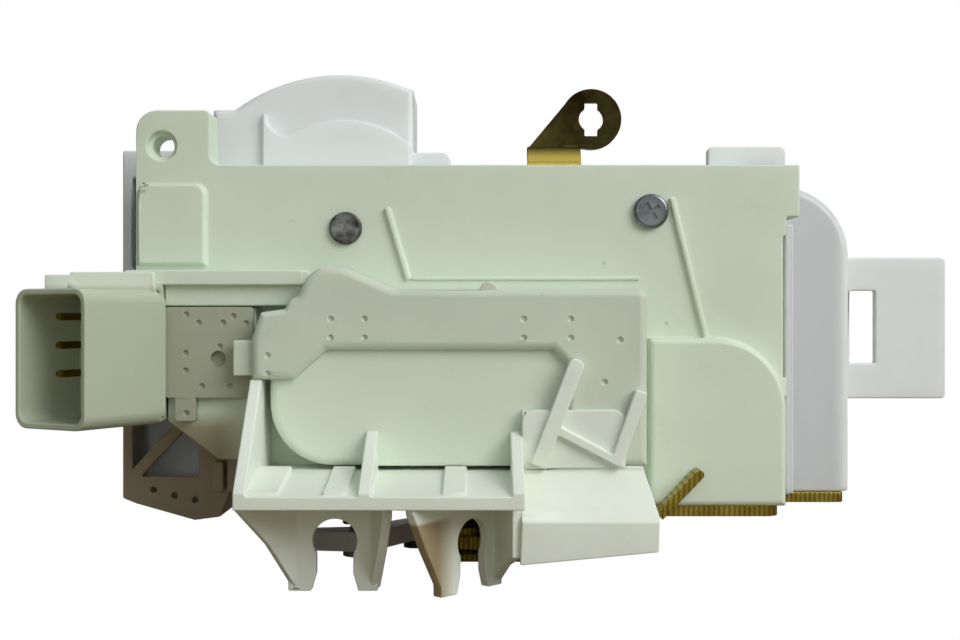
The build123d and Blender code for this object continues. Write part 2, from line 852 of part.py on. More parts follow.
# Terminal plate with its rivet pips
with BuildPart() as terminal_plate:
    with BuildSketch(facing(terminal_front + terminal_t)):
        with Locations(((terminal_left + terminal_right) / 2, (terminal_low + terminal_high) / 2)):
            RectangleRounded(terminal_right - terminal_left, terminal_high - terminal_low, 0.8)
        with Locations((terminal_left + 3.9, terminal_low - 2.0)):
            RectangleRounded(3.8, 4.6, 0.5)
    extrude(amount=terminal_t)
    with BuildSketch(facing(terminal_front)):
        with Locations((-55.3, 42.8)):
            Circle(1.45)
    extrude(amount=-1.6, mode=Mode.SUBTRACT)
    with BuildSketch(facing(terminal_front)):
        with Locations((-61.2, 32.8)):
            Circle(dimple_r)
        with Locations((-61.2, 51.0), (-58.9, 49.5), (-54.4, 49.5), (-52.5, 50.7), (-50.2, 49.4)):
            Circle(dimple_r)
        with Locations((-55.0, 45.1), (-61.3, 43.9), (-61.3, 40.7), (-58.3, 37.8), (-53.2, 37.8)):
            Circle(dimple_r)
    extrude(amount=-dimple_depth, mode=Mode.SUBTRACT)

save(terminal_plate.part, "terminal_plate")


def arm_top_edge():
    """Left end, hump and long top edge of the raised arm, from its left end to its column."""
    return (
        (arm_left, arm_left_low + 7.6),
        (arm_left + 1.6, arm_top - 4.3),
        (arm_left + 6.0, arm_top - 3.7),
        (arm_left + 6.8, arm_top - 2.1),
        (arm_left + 8.4, arm_top - 1.3),
        (hump_left - 1.8, hump_top - 1.7),
        (hump_left + 0.6, hump_top),
        (hump_right - 1.0, hump_top),
        (hump_right + 8.2, arm_top),
        (column_right - 1.2, arm_top),
        (column_right, arm_top - 1.2),
    )


# Raised arm over the bus bars: a front plate that runs down a column, with a skirt where nothing backs it
skirt_low = bulge_top + 0.2
skirt_left = ledge_right + 0.3
with BuildPart() as lead_frame_cover:
    with BuildSketch(facing(arm_front + arm_t)):
        outline(
            *arm_top_edge(),
            (column_right, block_top),
            (column_left, block_top),
            (column_left, arm_low - 2.4),
            (column_left - 2.4, arm_low),
            (arm_left + 13.6, arm_low),
            (arm_left + 7.6, arm_left_low),
            (arm_left, arm_left_low),
        )
    extrude(amount=arm_t)
    fillet(lead_frame_cover.faces().sort_by(Axis.Y)[0].edges(), arm_round)
    with BuildSketch(facing(face_y)) as skirt_sketch:
        outline(*arm_top_edge(), (column_right, skirt_low), (arm_left, skirt_low))
        with Locations((skirt_left, skirt_low)):
            Rectangle(80, 40, align=(Align.MAX, Align.CENTER), mode=Mode.SUBTRACT)
    extrude(amount=arm_rise - arm_t)
    with BuildSketch(facing(face_y)):
        add(skirt_sketch.sketch_local)
        offset(amount=-arm_wall, kind=Kind.INTERSECTION)
    extrude(amount=arm_rise - arm_t, mode=Mode.SUBTRACT)
    with BuildSketch(facing(face_y - ledge_rise - 0.2)):
        outline(
            *arm_top_edge()[:6],
            (hump_left - 1.8, skirt_low),
            (bulge_left - 0.2, skirt_low),
            (bulge_left - 0.2, arm_left_low + 0.6),
            (stub_left, arm_left_low + 0.6),
            (stub_left, stub_top),
            (arm_left, stub_top),
        )
    extrude(amount=arm_rise - arm_t - ledge_rise - 0.2)
    with BuildSketch(facing(face_y - ledge_rise)):
        with Locations((nub_x, arm_top - 0.3)):
            Circle(nub_r)
    extrude(amount=arm_rise - ledge_rise - 0.7)
    with BuildSketch(facing(arm_front)):
        with Locations((-45.4, 43.6), (-45.4, 40.3), (-34.0, 50.2)):
            Circle(dimple_r)
        with Locations((-34.0, 46.8), (-27.9, 50.2), (-27.9, 46.8)):
            Circle(dimple_r)
        with Locations((0.9, 50.2), (9.4, 50.2), (0.9, 46.8), (9.4, 46.8), (18.3, 46.4), (15.5, 38.8)):
            Circle(dimple_r)
    extrude(amount=-dimple_depth, mode=Mode.SUBTRACT)

save(lead_frame_cover.part, "lead_frame_cover")

# Bus bars under the arm: three strips that end over the motor's and the switches' terminals
bar_pitch = (arm_top - skirt_low - 2 * arm_wall - bar_gap) / bar_count
bar_w = bar_pitch - bar_gap
with BuildPart() as bus_bars:
    for bar in range(bar_count):
        bar_z = skirt_low + arm_wall + bar_gap + bar_w / 2 + bar_pitch * bar
        with BuildSketch(facing(face_y)):
            with Locations(((skirt_left + column_right) / 2, bar_z)):
                Rectangle(column_right - skirt_left - 2 * arm_wall - 2 * bar_gap - bar_step * bar, bar_w)
        extrude(amount=bar_t)

save(bus_bars.part, "bus_bars")

# Cable bracket: a ribbed shelf with two cable forks under it, and the closed block at its right
with BuildPart() as cable_bracket:
    with BuildSketch(across(shelf_left)):
        outline(
            (face_y, shelf_under),
            (shelf_front, shelf_under),
            (shelf_front, shelf_front_top),
            (bulge_front, shelf_back_top),
            (face_y, shelf_back_top),
        )
    extrude(amount=block_left - shelf_left)
    with BuildSketch(across(shelf_left)):
        outline(
            (face_y, shelf_under),
            (block_front + 0.2, shelf_under),
            (block_front + 0.2, shelf_front_top),
            (bulge_front, shelf_back_top),
            (face_y, shelf_back_top),
        )
    extrude(amount=block_left + block_wall - shelf_left)
    for rib_x, rib_top, rib_t in (
        (shelf_left, arm_left_low, gusset_t),
        (middle_rib_x, middle_rib_top, gusset_t),
        (block_left - gusset_t, middle_rib_top, gusset_t),
    ):
        with BuildSketch(across(rib_x)):
            outline(
                (bulge_front, shelf_under + 0.4),
                (shelf_front, shelf_under + 0.4),
                (shelf_front, shelf_front_top + 0.6),
                (bulge_front - 1.0, rib_top),
                (bulge_front, rib_top),
            )
        extrude(amount=rib_t)
    with BuildSketch(across(shelf_left)):
        outline(
            (face_y, shelf_under),
            (bulge_front, shelf_under),
            (bulge_front, arm_left_low),
            (face_y, arm_left_low),
        )
    extrude(amount=gusset_t)
    # Low pads on the shelf
    for pad_x, pad_w in ((-46.6, 5.4), (-33.6, 4.0), (-13.4, 4.0)):
        with BuildSketch(across(pad_x)):
            outline(
                (bulge_front - 0.4, shelf_under + 0.4),
                (shelf_front + 1.0, shelf_under + 0.4),
                (shelf_front + 1.0, shelf_front_top + 0.7),
                (bulge_front - 0.4, shelf_back_top + 0.9),
            )
        extrude(amount=pad_w)
    # Block at the right, hollow from below
    with BuildSketch(facing(face_y)):
        outline(
            (block_left, case_bottom + 0.2),
            (block_left, bulge_low - 0.2),
            (block_right - 2.0, bulge_low - 0.2),
            (block_right, case_bottom + 0.8),
        )
    extrude(amount=face_y - bulge_front)
    with BuildSketch(facing(bulge_front)):
        outline(
            (block_left - 0.6, block_low_left),
            (block_left, block_top),
            (block_right - 2.0, block_top),
            (block_right, block_low_left + 8.6),
            (block_right - 0.2, block_low_right),
        )
    extrude(amount=bulge_front - block_front)
    with BuildSketch(across(block_left + block_wall)):
        outline(
            (bulge_front, block_low_left - 1.0),
            (bulge_front, block_top - block_wall),
            (block_bend_y + block_wall, block_top - block_wall),
            (block_front + block_wall, block_bend_z - block_wall),
            (block_front + block_wall, block_low_left - 1.0),
        )
    extrude(amount=block_right - block_left - 2 * block_wall - 1.0, mode=Mode.SUBTRACT)
    with BuildSketch(across(block_left - 1.0)):
        outline(
            (block_front - 0.1, block_bend_z),
            (block_front - 0.1, block_top + 0.1),
            (block_bend_y, block_top + 0.1),
            (block_bend_y, block_top - 0.8),
        )
    extrude(amount=block_right - block_left + 2.0, mode=Mode.SUBTRACT)
    # Pad and strap ribs that climb over the arm's column
    with BuildSketch(facing(bulge_front)):
        with Locations(((block_left + column_left) / 2, (block_top + pad_top) / 2)):
            Rectangle(column_left - block_left - 0.1, pad_top - block_top + 0.4)
    extrude(amount=bulge_front - arm_front)
    with BuildSketch(facing(arm_front)) as pad_sketch:
        with Locations(((block_left + pad_right) / 2, (block_top + pad_top) / 2)):
            Rectangle(pad_right - block_left, pad_top - block_top + 0.4)
        fillet(pad_sketch.vertices().group_by(Axis.Y)[-1], 2.2)
    extrude(amount=pad_rise)
    with BuildSketch(facing(arm_front)):
        with BuildLine():
            Line((3.4, 23.8), (10.2, 41.6))
        trace(line_width=strap_t)
        with Locations((10.2, 41.6)):
            Circle(strap_t / 2)
        with BuildLine():
            Line((7.0, 30.2), (18.2, 24.3))
        trace(line_width=strap_thin)
        with BuildLine():
            Line((17.4, 24.0), (22.0, 37.2))
        trace(line_width=strap_t - 0.6)
    extrude(amount=strap_rise)
    # Two forks with their webs, the right one turned
    for fork_x, fork_turn in ((fork_one_x, 0.0), (fork_two_x, fork_two_turn)):
        lean = math.radians(fork_turn)
        lean_x = math.cos(lean)
        lean_y = math.sin(lean)
        fork_plane = Plane(
            origin=(fork_x, fork_y + fork_t / 2, 0), x_dir=(lean_x, lean_y, 0), z_dir=(lean_y, -lean_x, 0)
        )
        half = fork_seat_r + fork_arm
        with BuildSketch(fork_plane.offset(-fork_t / 2)) as fork_sketch:
            outline(
                (-half - 0.8, shelf_under + 1.0),
                (half + 0.6, shelf_under + 1.0),
                (half - 0.2, fork_tip_z),
                (fork_throat / 2 + 0.9, fork_tip_z),
                (fork_throat / 2, fork_tip_z + 3.2),
                (-fork_throat / 2, fork_tip_z + 3.2),
                (-fork_throat / 2 - 0.9, fork_tip_z),
                (-half - 0.4, fork_tip_z),
            )
            with Locations((0, fork_seat_z)):
                Circle(fork_seat_r, mode=Mode.SUBTRACT)
            with Locations((0, (fork_seat_z + fork_tip_z) / 2)):
                Rectangle(fork_throat, fork_seat_z - fork_tip_z, mode=Mode.SUBTRACT)
        extrude(amount=fork_t)
        for side, web_turn, web_reach, web_low in (
            (-1, math.radians(41.0) + 0.35 * lean, 12.4 - 3.0 * lean, shelf_under - 0.8),
            (1, math.radians(-72.0), 9.4 + 3.0 * lean, shelf_under - 2.0 - 9.0 * lean),
        ):
            web_plane = Plane(
                origin=(
                    fork_x + side * (half - 0.8) * lean_x,
                    fork_y + fork_t / 2 + side * (half - 0.8) * lean_y,
                    0,
                ),
                x_dir=(side * math.cos(web_turn), side * math.sin(web_turn), 0),
                z_dir=(side * math.sin(web_turn), -side * math.cos(web_turn), 0),
            )
            with BuildSketch(web_plane.offset(-0.9)):
                outline(
                    (-0.6, fork_tip_z + 0.6),
                    (0.5, fork_tip_z + 0.6),
                    (6.0, (web_low + fork_tip_z) / 2 + 1.0),
                    (web_reach, web_low),
                    (web_reach, shelf_under + 0.6),
                    (-0.6, shelf_under + 0.6),
                )
            extrude(amount=1.8)

save(cable_bracket.part, "cable_bracket")

# Rubber gasket in the groove where the rear cover meets the housing's rim
with BuildPart() as housing_gasket:
    with BuildSketch(facing(case_back + gasket_t)):
        add(gasket_ring.sketch)
    extrude(amount=gasket_t)

save(housing_gasket.part, "housing_gasket")

with BuildPart() as rear_screws:
    for rear_screw in rear_screws_at:
        with BuildSketch(facing(cover_back + rear_head_h)):
            with Locations(rear_screw):
                Circle(rear_head_r)
        extrude(amount=rear_head_h)
        with BuildSketch(facing(cover_back)):
            with Locations(rear_screw):
                Circle(rear_screw_r)
        extrude(amount=cover_depth + 11.0)
        with BuildSketch(facing(cover_back + rear_head_h)):
            with Locations(rear_screw):
                Rectangle(3.2, 0.7)
                Rectangle(0.7, 3.2)
        extrude(amount=0.9, mode=Mode.SUBTRACT)

save(rear_screws.part, "rear_screws")

# Motor: drawn steel can with flats, end cap, two magnets, armature on its shaft, two terminals
with BuildPart() as motor_can:
    with BuildSketch(across(motor_left)) as can_section:
        with Locations((motor_y, motor_z)):
            Circle(motor_dia / 2)
            Rectangle(motor_dia, motor_flats, mode=Mode.INTERSECT)
    extrude(amount=motor_len - motor_cap_t)
    with BuildSketch(across(motor_left - motor_nose_len)):
        with Locations((motor_y, motor_z)):
            Circle(motor_nose_r)
    extrude(amount=motor_nose_len + 0.4)
    with BuildSketch(across(motor_left + motor_sheet)) as can_room:
        with Locations((motor_y, motor_z)):
            Circle(motor_dia / 2 - motor_sheet)
            Rectangle(motor_dia, motor_flats - 2 * motor_sheet, mode=Mode.INTERSECT)
    extrude(amount=motor_len, mode=Mode.SUBTRACT)
    with BuildSketch(across(motor_left - motor_nose_len)):
        with Locations((motor_y, motor_z)):
            Circle(shaft_r + shaft_clear)
    extrude(amount=motor_len, mode=Mode.SUBTRACT)

save(motor_can.part, "motor_can")

with BuildPart() as motor_end_cap:
    with BuildSketch(across(motor_right - motor_cap_t)):
        with Locations((motor_y, motor_z)):
            Circle(motor_dia / 2)
            Rectangle(motor_dia, motor_flats, mode=Mode.INTERSECT)
    extrude(amount=motor_cap_t - 1.0)
    with BuildSketch(across(motor_right - motor_cap_t)):
        with Locations((motor_y, motor_z)):
            Circle(motor_nose_r)
    extrude(amount=motor_cap_t)
    with BuildSketch(across(motor_right - motor_cap_t)):
        with Locations((motor_y, motor_z)):
            Circle(shaft_r + shaft_clear)
    extrude(amount=motor_cap_t - 1.0, mode=Mode.SUBTRACT)
    with BuildSketch(across(motor_right - motor_cap_t)):
        with Locations((motor_y - 8.0, motor_z), (motor_y + 8.0, motor_z)):
            Rectangle(0.8, 3.0)
    extrude(amount=motor_cap_t, mode=Mode.SUBTRACT)

save(motor_end_cap.part, "motor_end_cap")

with BuildPart() as motor_terminals:
    with BuildSketch(across(motor_right - motor_cap_t)):
        with Locations((motor_y - 8.0, motor_z), (motor_y + 8.0, motor_z)):
            Rectangle(0.8, 3.0)
    extrude(amount=motor_cap_t + 3.0)

save(motor_terminals.part, "motor_terminals")

with BuildPart() as motor_magnets:
    with BuildSketch(across(motor_left + motor_sheet + 2.0)):
        with Locations((motor_y, motor_z)):
            Circle(motor_dia / 2 - motor_sheet)
            Circle(motor_dia / 2 - motor_sheet - magnet_t, mode=Mode.SUBTRACT)
            Rectangle(motor_dia, motor_flats * 0.62, mode=Mode.INTERSECT)
    extrude(amount=motor_len - motor_cap_t - motor_sheet - 4.0)

save(motor_magnets.part, "motor_magnets")

with BuildPart() as motor_shaft:
    with BuildSketch(across(gear_x - worm_len / 2 - 2.0)):
        with Locations((motor_y, motor_z)):
            Circle(shaft_r)
    extrude(amount=motor_right - 1.3 - (gear_x - worm_len / 2 - 2.0))

save(motor_shaft.part, "motor_shaft")

with BuildPart() as motor_armature:
    with BuildSketch(across(motor_left + motor_sheet + 2.5)):
        with Locations((motor_y, motor_z)):
            Circle(armature_r)
    extrude(amount=15.0)
    with BuildSketch(across(motor_left + motor_sheet + 2.5)):
        with Locations((motor_y, motor_z)):
            with PolarLocations(armature_r, 5):
                Rectangle(4.6, 1.8)
    extrude(amount=15.0, mode=Mode.SUBTRACT)
    with BuildSketch(across(motor_left + motor_sheet + 17.0)):
        with Locations((motor_y, motor_z)):
            Circle(2.8)
    extrude(amount=5.0)
    with BuildSketch(across(motor_left)):
        with Locations((motor_y, motor_z)):
            Circle(shaft_r)
    extrude(amount=motor_len, mode=Mode.SUBTRACT)

save(motor_armature.part, "motor_armature")

# Worm pressed on the motor shaft, with a real thread
worm_pitch = tooth_pitch
thread_turns = 3
thread_len = worm_pitch * thread_turns
thread_start = gear_x - thread_len / 2
with BuildPart() as worm:
    with BuildSketch(across(gear_x - worm_len / 2)):
        with Locations((motor_y, motor_z)):
            Circle(worm_thread_root)
            Circle(shaft_r, mode=Mode.SUBTRACT)
    extrude(amount=worm_len)
    with BuildLine() as thread_path:
        Helix(
            pitch=worm_pitch,
            height=thread_len,
            radius=worm_thread_root - 0.2,
            center=(thread_start, motor_y, motor_z),
            direction=(1, 0, 0),
        )
    thread_foot = thread_path.line @ 0
    with BuildSketch(
        Plane(
            origin=thread_foot,
            x_dir=(0, thread_foot.Y - motor_y, thread_foot.Z - motor_z),
            z_dir=thread_path.line % 0,
        )
    ):
        outline(
            (0, -0.85),
            (worm_thread_tip - worm_thread_root + 0.2, -0.35),
            (worm_thread_tip - worm_thread_root + 0.2, 0.35),
            (0, 0.85),
        )
    sweep(is_frenet=True)

save(worm.part, "worm")

# Drive gear: worm wheel and pinion in one, turning on a fixed pin; a rack slider over the pinion
with BuildPart() as drive_gear:
    with BuildSketch(facing(gear_back)):
        with Locations((gear_x, gear_z)):
            Circle(gear_root_r)
            with PolarLocations(0, gear_teeth, start_angle=-90):
                outline(
                    (gear_root_r - 0.4, -0.95),
                    (gear_tip_r, -0.45),
                    (gear_tip_r, 0.45),
                    (gear_root_r - 0.4, 0.95),
                )
    extrude(amount=gear_w)
    with BuildSketch(facing(gear_back + pinion_w)):
        with Locations((gear_x, gear_z)):
            Circle(pinion_pitch_r - 1.2 * gear_module)
            with PolarLocations(0, pinion_teeth, start_angle=90):
                outline(
                    (pinion_pitch_r - 1.5 * gear_module, -0.95),
                    (pinion_pitch_r + 0.8 * gear_module, -0.4),
                    (pinion_pitch_r + 0.8 * gear_module, 0.4),
                    (pinion_pitch_r - 1.5 * gear_module, 0.95),
                )
    extrude(amount=pinion_w + 0.2)
    # Recessed web with a ring and holes
    for web_face, web_way in ((gear_front, -1), (gear_back, 1)):
        with BuildSketch(facing(web_face)):
            with Locations((gear_x, gear_z)):
                Circle(gear_root_r - 2.0)
                Circle(pinion_pitch_r + 2.0, mode=Mode.SUBTRACT)
        extrude(amount=web_way * 1.4, mode=Mode.SUBTRACT)
    with BuildSketch(facing(gear_back + pinion_w)):
        with Locations((gear_x, gear_z)):
            Circle(gear_pin_r + pin_clear)
    extrude(amount=pinion_w + gear_w, mode=Mode.SUBTRACT)

save(drive_gear.part, "drive_gear")

with BuildPart() as gear_pin:
    with BuildSketch(facing(cavity_front)):
        with Locations((gear_x, gear_z)):
            Circle(gear_pin_r)
    extrude(amount=-(cover_inside - cavity_front))

save(gear_pin.part, "gear_pin")

with BuildPart() as lock_slider:
    with BuildSketch(facing(slider_y)):
        with Locations(((slider_left + slider_right) / 2, rack_line + gear_module + slider_bar / 2)):
            Rectangle(slider_right - slider_left, slider_bar)
        for tooth in range(-1, 5):
            with Locations((gear_x + (tooth + 0.5) * tooth_pitch, rack_line)):
                outline(
                    (-0.95, gear_module + 0.2),
                    (-0.3, -0.7 * gear_module),
                    (0.3, -0.7 * gear_module),
                    (0.95, gear_module + 0.2),
                )
    extrude(amount=slider_t)
    with BuildSketch(facing(slider_y)):
        with Locations((slider_right - 3.0, rack_line + gear_module + slider_bar + 2.0)):
            Rectangle(6.0, 4.4)
    extrude(amount=slider_t)

save(lock_slider.part, "lock_slider")

# Release lever: hub on the rivet, long arm inside the housing, neck through the slot, stepped eye outside
neck_low = case_top + 1.0
eye_front = lever_front + eye_step
with BuildPart() as release_lever:
    with BuildSketch(facing(lever_back)):
        with Locations((rivet_x, rivet_z)):
            Circle(lever_hub_r)
        outline(
            (rivet_x, rivet_z + lever_hub_r - 1.0),
            (lever_exit_left, rivet_z - 3.0),
            (lever_exit_left, neck_low),
            (lever_exit_right, neck_low),
            (lever_exit_right, lever_low),
            (rivet_x, rivet_z - lever_hub_r + 1.0),
        )
    extrude(amount=lever_t)
    # Step between the two planes
    with BuildSketch(across(lever_exit_left)):
        outline(
            (lever_front, neck_low - 0.6),
            (lever_back, neck_low - 0.6),
            (eye_front + lever_t, neck_low + eye_step),
            (eye_front + lever_t, neck_low + eye_step + 0.9),
            (eye_front, neck_low + eye_step + 0.9),
        )
    extrude(amount=lever_exit_right - lever_exit_left)
    with BuildSketch(facing(eye_front + lever_t)):
        with Locations((eye_x, eye_z)):
            Circle(eye_r)
        outline(
            (lever_exit_left, neck_low + eye_step),
            (lever_exit_left, neck_low + eye_step + 0.4),
            (eye_x - eye_r * 0.86, eye_z + eye_r * 0.51),
            (eye_x, eye_z),
            (eye_x, eye_z - eye_r),
            (lever_exit_right + 0.2, neck_low + eye_step + 0.6),
            (lever_exit_right, neck_low + eye_step),
        )
    extrude(amount=lever_t)
    with BuildSketch(facing(eye_front + lever_t)):
        with Locations((eye_x, eye_z)):
            Circle(eye_hole_r)
            Rectangle(eye_key_w, eye_key_h)
    extrude(amount=lever_t, mode=Mode.SUBTRACT)
    with BuildSketch(facing(lever_back)):
        with Locations((rivet_x, rivet_z)):
            Circle(bush_r)
    extrude(amount=lever_t, mode=Mode.SUBTRACT)

save(release_lever.part, "release_lever")

with BuildPart() as lever_bush:
    with BuildSketch(facing(lever_back)):
        with Locations((rivet_x, rivet_z)):
            Circle(bush_r)
            Circle(rivet_r + pin_clear, mode=Mode.SUBTRACT)
    extrude(amount=lever_t)
    with BuildSketch(facing(lever_front)):
        with Locations((rivet_x, rivet_z)):
            Circle(bush_r + 1.0)
            Circle(rivet_r + pin_clear, mode=Mode.SUBTRACT)
    extrude(amount=bush_flange_t)

save(lever_bush.part, "lever_bush")

with BuildPart() as lever_rivet:
    with BuildSketch(facing(face_y)):
        with Locations((rivet_x, rivet_z)):
            Circle(rivet_head_r)
    extrude(amount=rivet_head_t)
    with BuildSketch(facing(rivet_back)):
        with Locations((rivet_x, rivet_z)):
            Circle(rivet_r)
    extrude(amount=rivet_back - face_y)
    with BuildSketch(facing(rivet_back)):
        with Locations((rivet_x, rivet_z)):
            Circle(rivet_r + 1.1)
    extrude(amount=0.6)
    fillet(lever_rivet.faces().sort_by(Axis.Y)[0].edges(), 0.4)

save(lever_rivet.part, "lever_rivet")


def coil(name, foot, way, coil_r, turns, pitch, wire):
    """A closed-end helical spring; foot is the middle of its first turn and way its axis."""
    with BuildPart() as spring:
        with BuildLine() as path:
            Helix(pitch=pitch, height=turns * pitch, radius=coil_r, center=foot, direction=way)
        with BuildSketch(Plane(origin=path.line @ 0, z_dir=path.line % 0)):
            Circle(wire)
        sweep(is_frenet=True)
    save(spring.part, name)


spring_wire = 0.5
coil(
    "lever_return_spring", (rivet_x, rivet_back - 0.9 - spring_wire, rivet_z), (0, -1, 0),
    rivet_r + 0.4 + spring_wire, 2, 1.15, spring_wire,
)

# Cover screw with a cross recess, and the three screws that hold the rear cover
with BuildPart() as cover_screw:
    with BuildSketch(facing(face_y)):
        with Locations((screw_x, screw_z)):
            Circle(screw_head_r)
    extrude(amount=screw_head_h)
    fillet(cover_screw.faces().sort_by(Axis.Y)[0].edges(), 0.6)
    with BuildSketch(facing(face_y + case_depth - 1.0)):
        with Locations((screw_x, screw_z)):
            Circle(screw_r)
    extrude(amount=case_depth - 1.0)
    with BuildSketch(facing(face_y - screw_head_h)):
        with Locations((screw_x, screw_z)):
            Rectangle(3.6, 0.7, rotation=32)
            Rectangle(0.7, 3.6, rotation=32)
    extrude(amount=-1.0, mode=Mode.SUBTRACT)

save(cover_screw.part, "cover_screw")

# Latch plates: the lower one is the latch face, the upper one carries the housing
with BuildPart() as lower_latch_plate:
    with BuildSketch() as lower_sketch:
        outline(
            (latch_left, latch_back),
            (latch_right, latch_back),
            (latch_right, latch_chamfer_y + 1.6),
            (latch_chamfer_x, latch_front),
            (latch_left, latch_front),
        )
        fillet(lower_sketch.vertices().group_by(Axis.Y)[-1], 3.0)
        fillet(lower_sketch.vertices().sort_by(Axis.X)[0:2].sort_by(Axis.Y)[0], 2.0)
        with Locations((0, (latch_back + 1 + channel_end + channel_w / 2) / 2)):
            Rectangle(channel_w, latch_back + 1 - channel_end - channel_w / 2, mode=Mode.SUBTRACT)
        with Locations((0, channel_end + channel_w / 2)):
            Circle(channel_w / 2, mode=Mode.SUBTRACT)
        with Locations((claw_x, claw_y)):
            Circle(claw_bush_r, mode=Mode.SUBTRACT)
        with Locations((pawl_x, pawl_y)):
            Circle(pawl_rivet_r, mode=Mode.SUBTRACT)
        with Locations(*standoffs):
            Circle(m6_r + 0.6, mode=Mode.SUBTRACT)
    extrude(amount=plate_t)

save(lower_latch_plate.part, "lower_latch_plate")

with BuildPart() as upper_latch_plate:
    with BuildSketch(level(frame_under)) as upper_sketch:
        outline(
            (frame_left, latch_back),
            (frame_left, face_y + 1.0),
            (frame_front_left - 4.0, face_y + 1.0),
            (frame_front_left - 4.0, flange_front),
            (frame_front_left + 1.0, flange_front),
            (frame_front_left + 1.0, frame_front),
            (frame_right, frame_front),
            (frame_right, wing_front),
            (wing_right, wing_front),
            (wing_right, latch_back),
        )
        fillet(upper_sketch.vertices().group_by(Axis.X)[-1], 1.4)
        frame_corners = upper_sketch.vertices().filter_by_position(Axis.X, frame_right, frame_right)
        fillet(frame_corners.sort_by(Axis.Y)[0], 2.5)
        with Locations((0, (latch_back + 1 + channel_end + channel_w / 2) / 2)):
            Rectangle(channel_w, latch_back + 1 - channel_end - channel_w / 2, mode=Mode.SUBTRACT)
        with Locations((0, channel_end + channel_w / 2)):
            Circle(channel_w / 2, mode=Mode.SUBTRACT)
        with Locations((claw_x, claw_y)):
            Circle(claw_bush_r - 1.0, mode=Mode.SUBTRACT)
        with Locations((pawl_x, pawl_y)):
            Circle(pawl_rivet_r - 0.5, mode=Mode.SUBTRACT)
        with Locations(*standoffs):
            Circle(m6_r + 0.6, mode=Mode.SUBTRACT)
    extrude(amount=frame_t)
    # Bent flange that leans over the front of the round boss
    with BuildSketch(facing(flange_front + flange_d)):
        with BuildLine():
            Line((flange_low_x, frame_under + flange_t / 2), (flange_tip_x, flange_tip_z))
        trace(line_width=flange_t)
        with Locations((flange_tip_x, flange_tip_z)):
            Circle(flange_t / 2)
    extrude(amount=flange_d)

save(upper_latch_plate.part, "upper_latch_plate")

with BuildPart() as plate_standoffs:
    for standoff in standoffs:
        with BuildSketch(level(0)):
            with Locations(standoff):
                Circle(m6_r + 0.6)
                Circle(m6_r, mode=Mode.SUBTRACT)
        extrude(amount=frame_under + frame_t)
        with BuildSketch(level(plate_t)):
            with Locations(standoff):
                Circle(standoff_r)
                Circle(m6_r, mode=Mode.SUBTRACT)
        extrude(amount=plates_apart)

save(plate_standoffs.part, "plate_standoffs")

# Claw: steel disc with the striker slot, in a plastic coat, on a threaded bush
seat_turn = math.radians(claw_seat_angle)
seat_x = claw_x + claw_seat_reach * math.cos(seat_turn)
seat_y = claw_y + claw_seat_reach * math.sin(seat_turn)
with BuildSketch() as claw_slot:
    with Locations((seat_x, seat_y)):
        Circle(claw_slot_w / 2)
    with Locations(Location((seat_x, seat_y, 0), (0, 0, claw_mouth_angle))):
        Rectangle(3 * claw_r, claw_slot_w, align=(Align.MIN, Align.CENTER))

with BuildPart() as claw:
    with BuildSketch(level(claw_z + (claw_t - claw_steel_t) / 2)):
        with Locations((claw_x, claw_y)):
            Circle(claw_r - claw_skin)
        with Locations(Location((claw_x, claw_y, 0), (0, 0, -70))):
            Rectangle(claw_r, 2.6 * claw_r, align=(Align.MIN, Align.CENTER), mode=Mode.SUBTRACT)
        with Locations((claw_x, claw_y)):
            Circle(claw_bush_r + 2.6)
        add(claw_slot.sketch, mode=Mode.SUBTRACT)
        with Locations((claw_x, claw_y)):
            Circle(claw_bush_r + pin_clear, mode=Mode.SUBTRACT)
    extrude(amount=claw_steel_t)

save(claw.part, "claw")

with BuildPart() as claw_cover:
    with BuildSketch(level(claw_z)):
        with Locations((claw_x, claw_y)):
            Circle(claw_r)
        with Locations(Location((claw_x, claw_y, 0), (0, 0, -70))):
            Rectangle(claw_r, 2.6 * claw_r, align=(Align.MIN, Align.CENTER), mode=Mode.SUBTRACT)
        add(claw_slot.sketch, mode=Mode.SUBTRACT)
        with Locations((claw_x, claw_y)):
            Circle(claw_bush_r + 1.8, mode=Mode.SUBTRACT)
    extrude(amount=claw_t)
    add(claw.part, mode=Mode.SUBTRACT)

save(claw_cover.part, "claw_cover")

with BuildPart() as claw_bush:
    with BuildSketch(level(0)):
        with Locations((claw_x, claw_y)):
            Circle(claw_bush_r)
    extrude(amount=frame_under)
    with BuildSketch(level(frame_under)):
        with Locations((claw_x, claw_y)):
            Circle(claw_bush_r - 1.0)
    extrude(amount=frame_t)
    with BuildSketch(level(0)):
        with Locations((claw_x, claw_y)):
            Circle(m6_r)
    extrude(amount=frame_under + frame_t, mode=Mode.SUBTRACT)

save(claw_bush.part, "claw_bush")

# Pawl: steel finger beside the claw, with a black plastic tail in two layers
with BuildPart() as pawl:
    with BuildSketch(level(claw_z)):
        with Locations((pawl_x, pawl_y)):
            Circle(pawl_hub_r)
        outline(
            (pawl_x - 1.0, pawl_y - pawl_hub_r + 0.1),
            (pawl_x + 8.0, pawl_y - pawl_hub_r - 1.2),
            (pawl_x + 8.0, pawl_y - 3.4),
            (pawl_x + 4.7, pawl_y - 0.6),
            (pawl_x, pawl_y),
        )
        outline(
            (pawl_x, pawl_y - 3.4),
            (pawl_x - 9.0, pawl_tail_front + 1.4),
            (pawl_x - 9.0, pawl_tail_back - 1.4),
            (pawl_x, pawl_y + 3.4),
        )
        with Locations((claw_x, claw_y)):
            Circle(claw_r + pawl_nose_gap, mode=Mode.SUBTRACT)
        with Locations((pawl_x, pawl_y)):
            Circle(pawl_rivet_r + pin_clear, mode=Mode.SUBTRACT)
    extrude(amount=pawl_t)

save(pawl.part, "pawl")

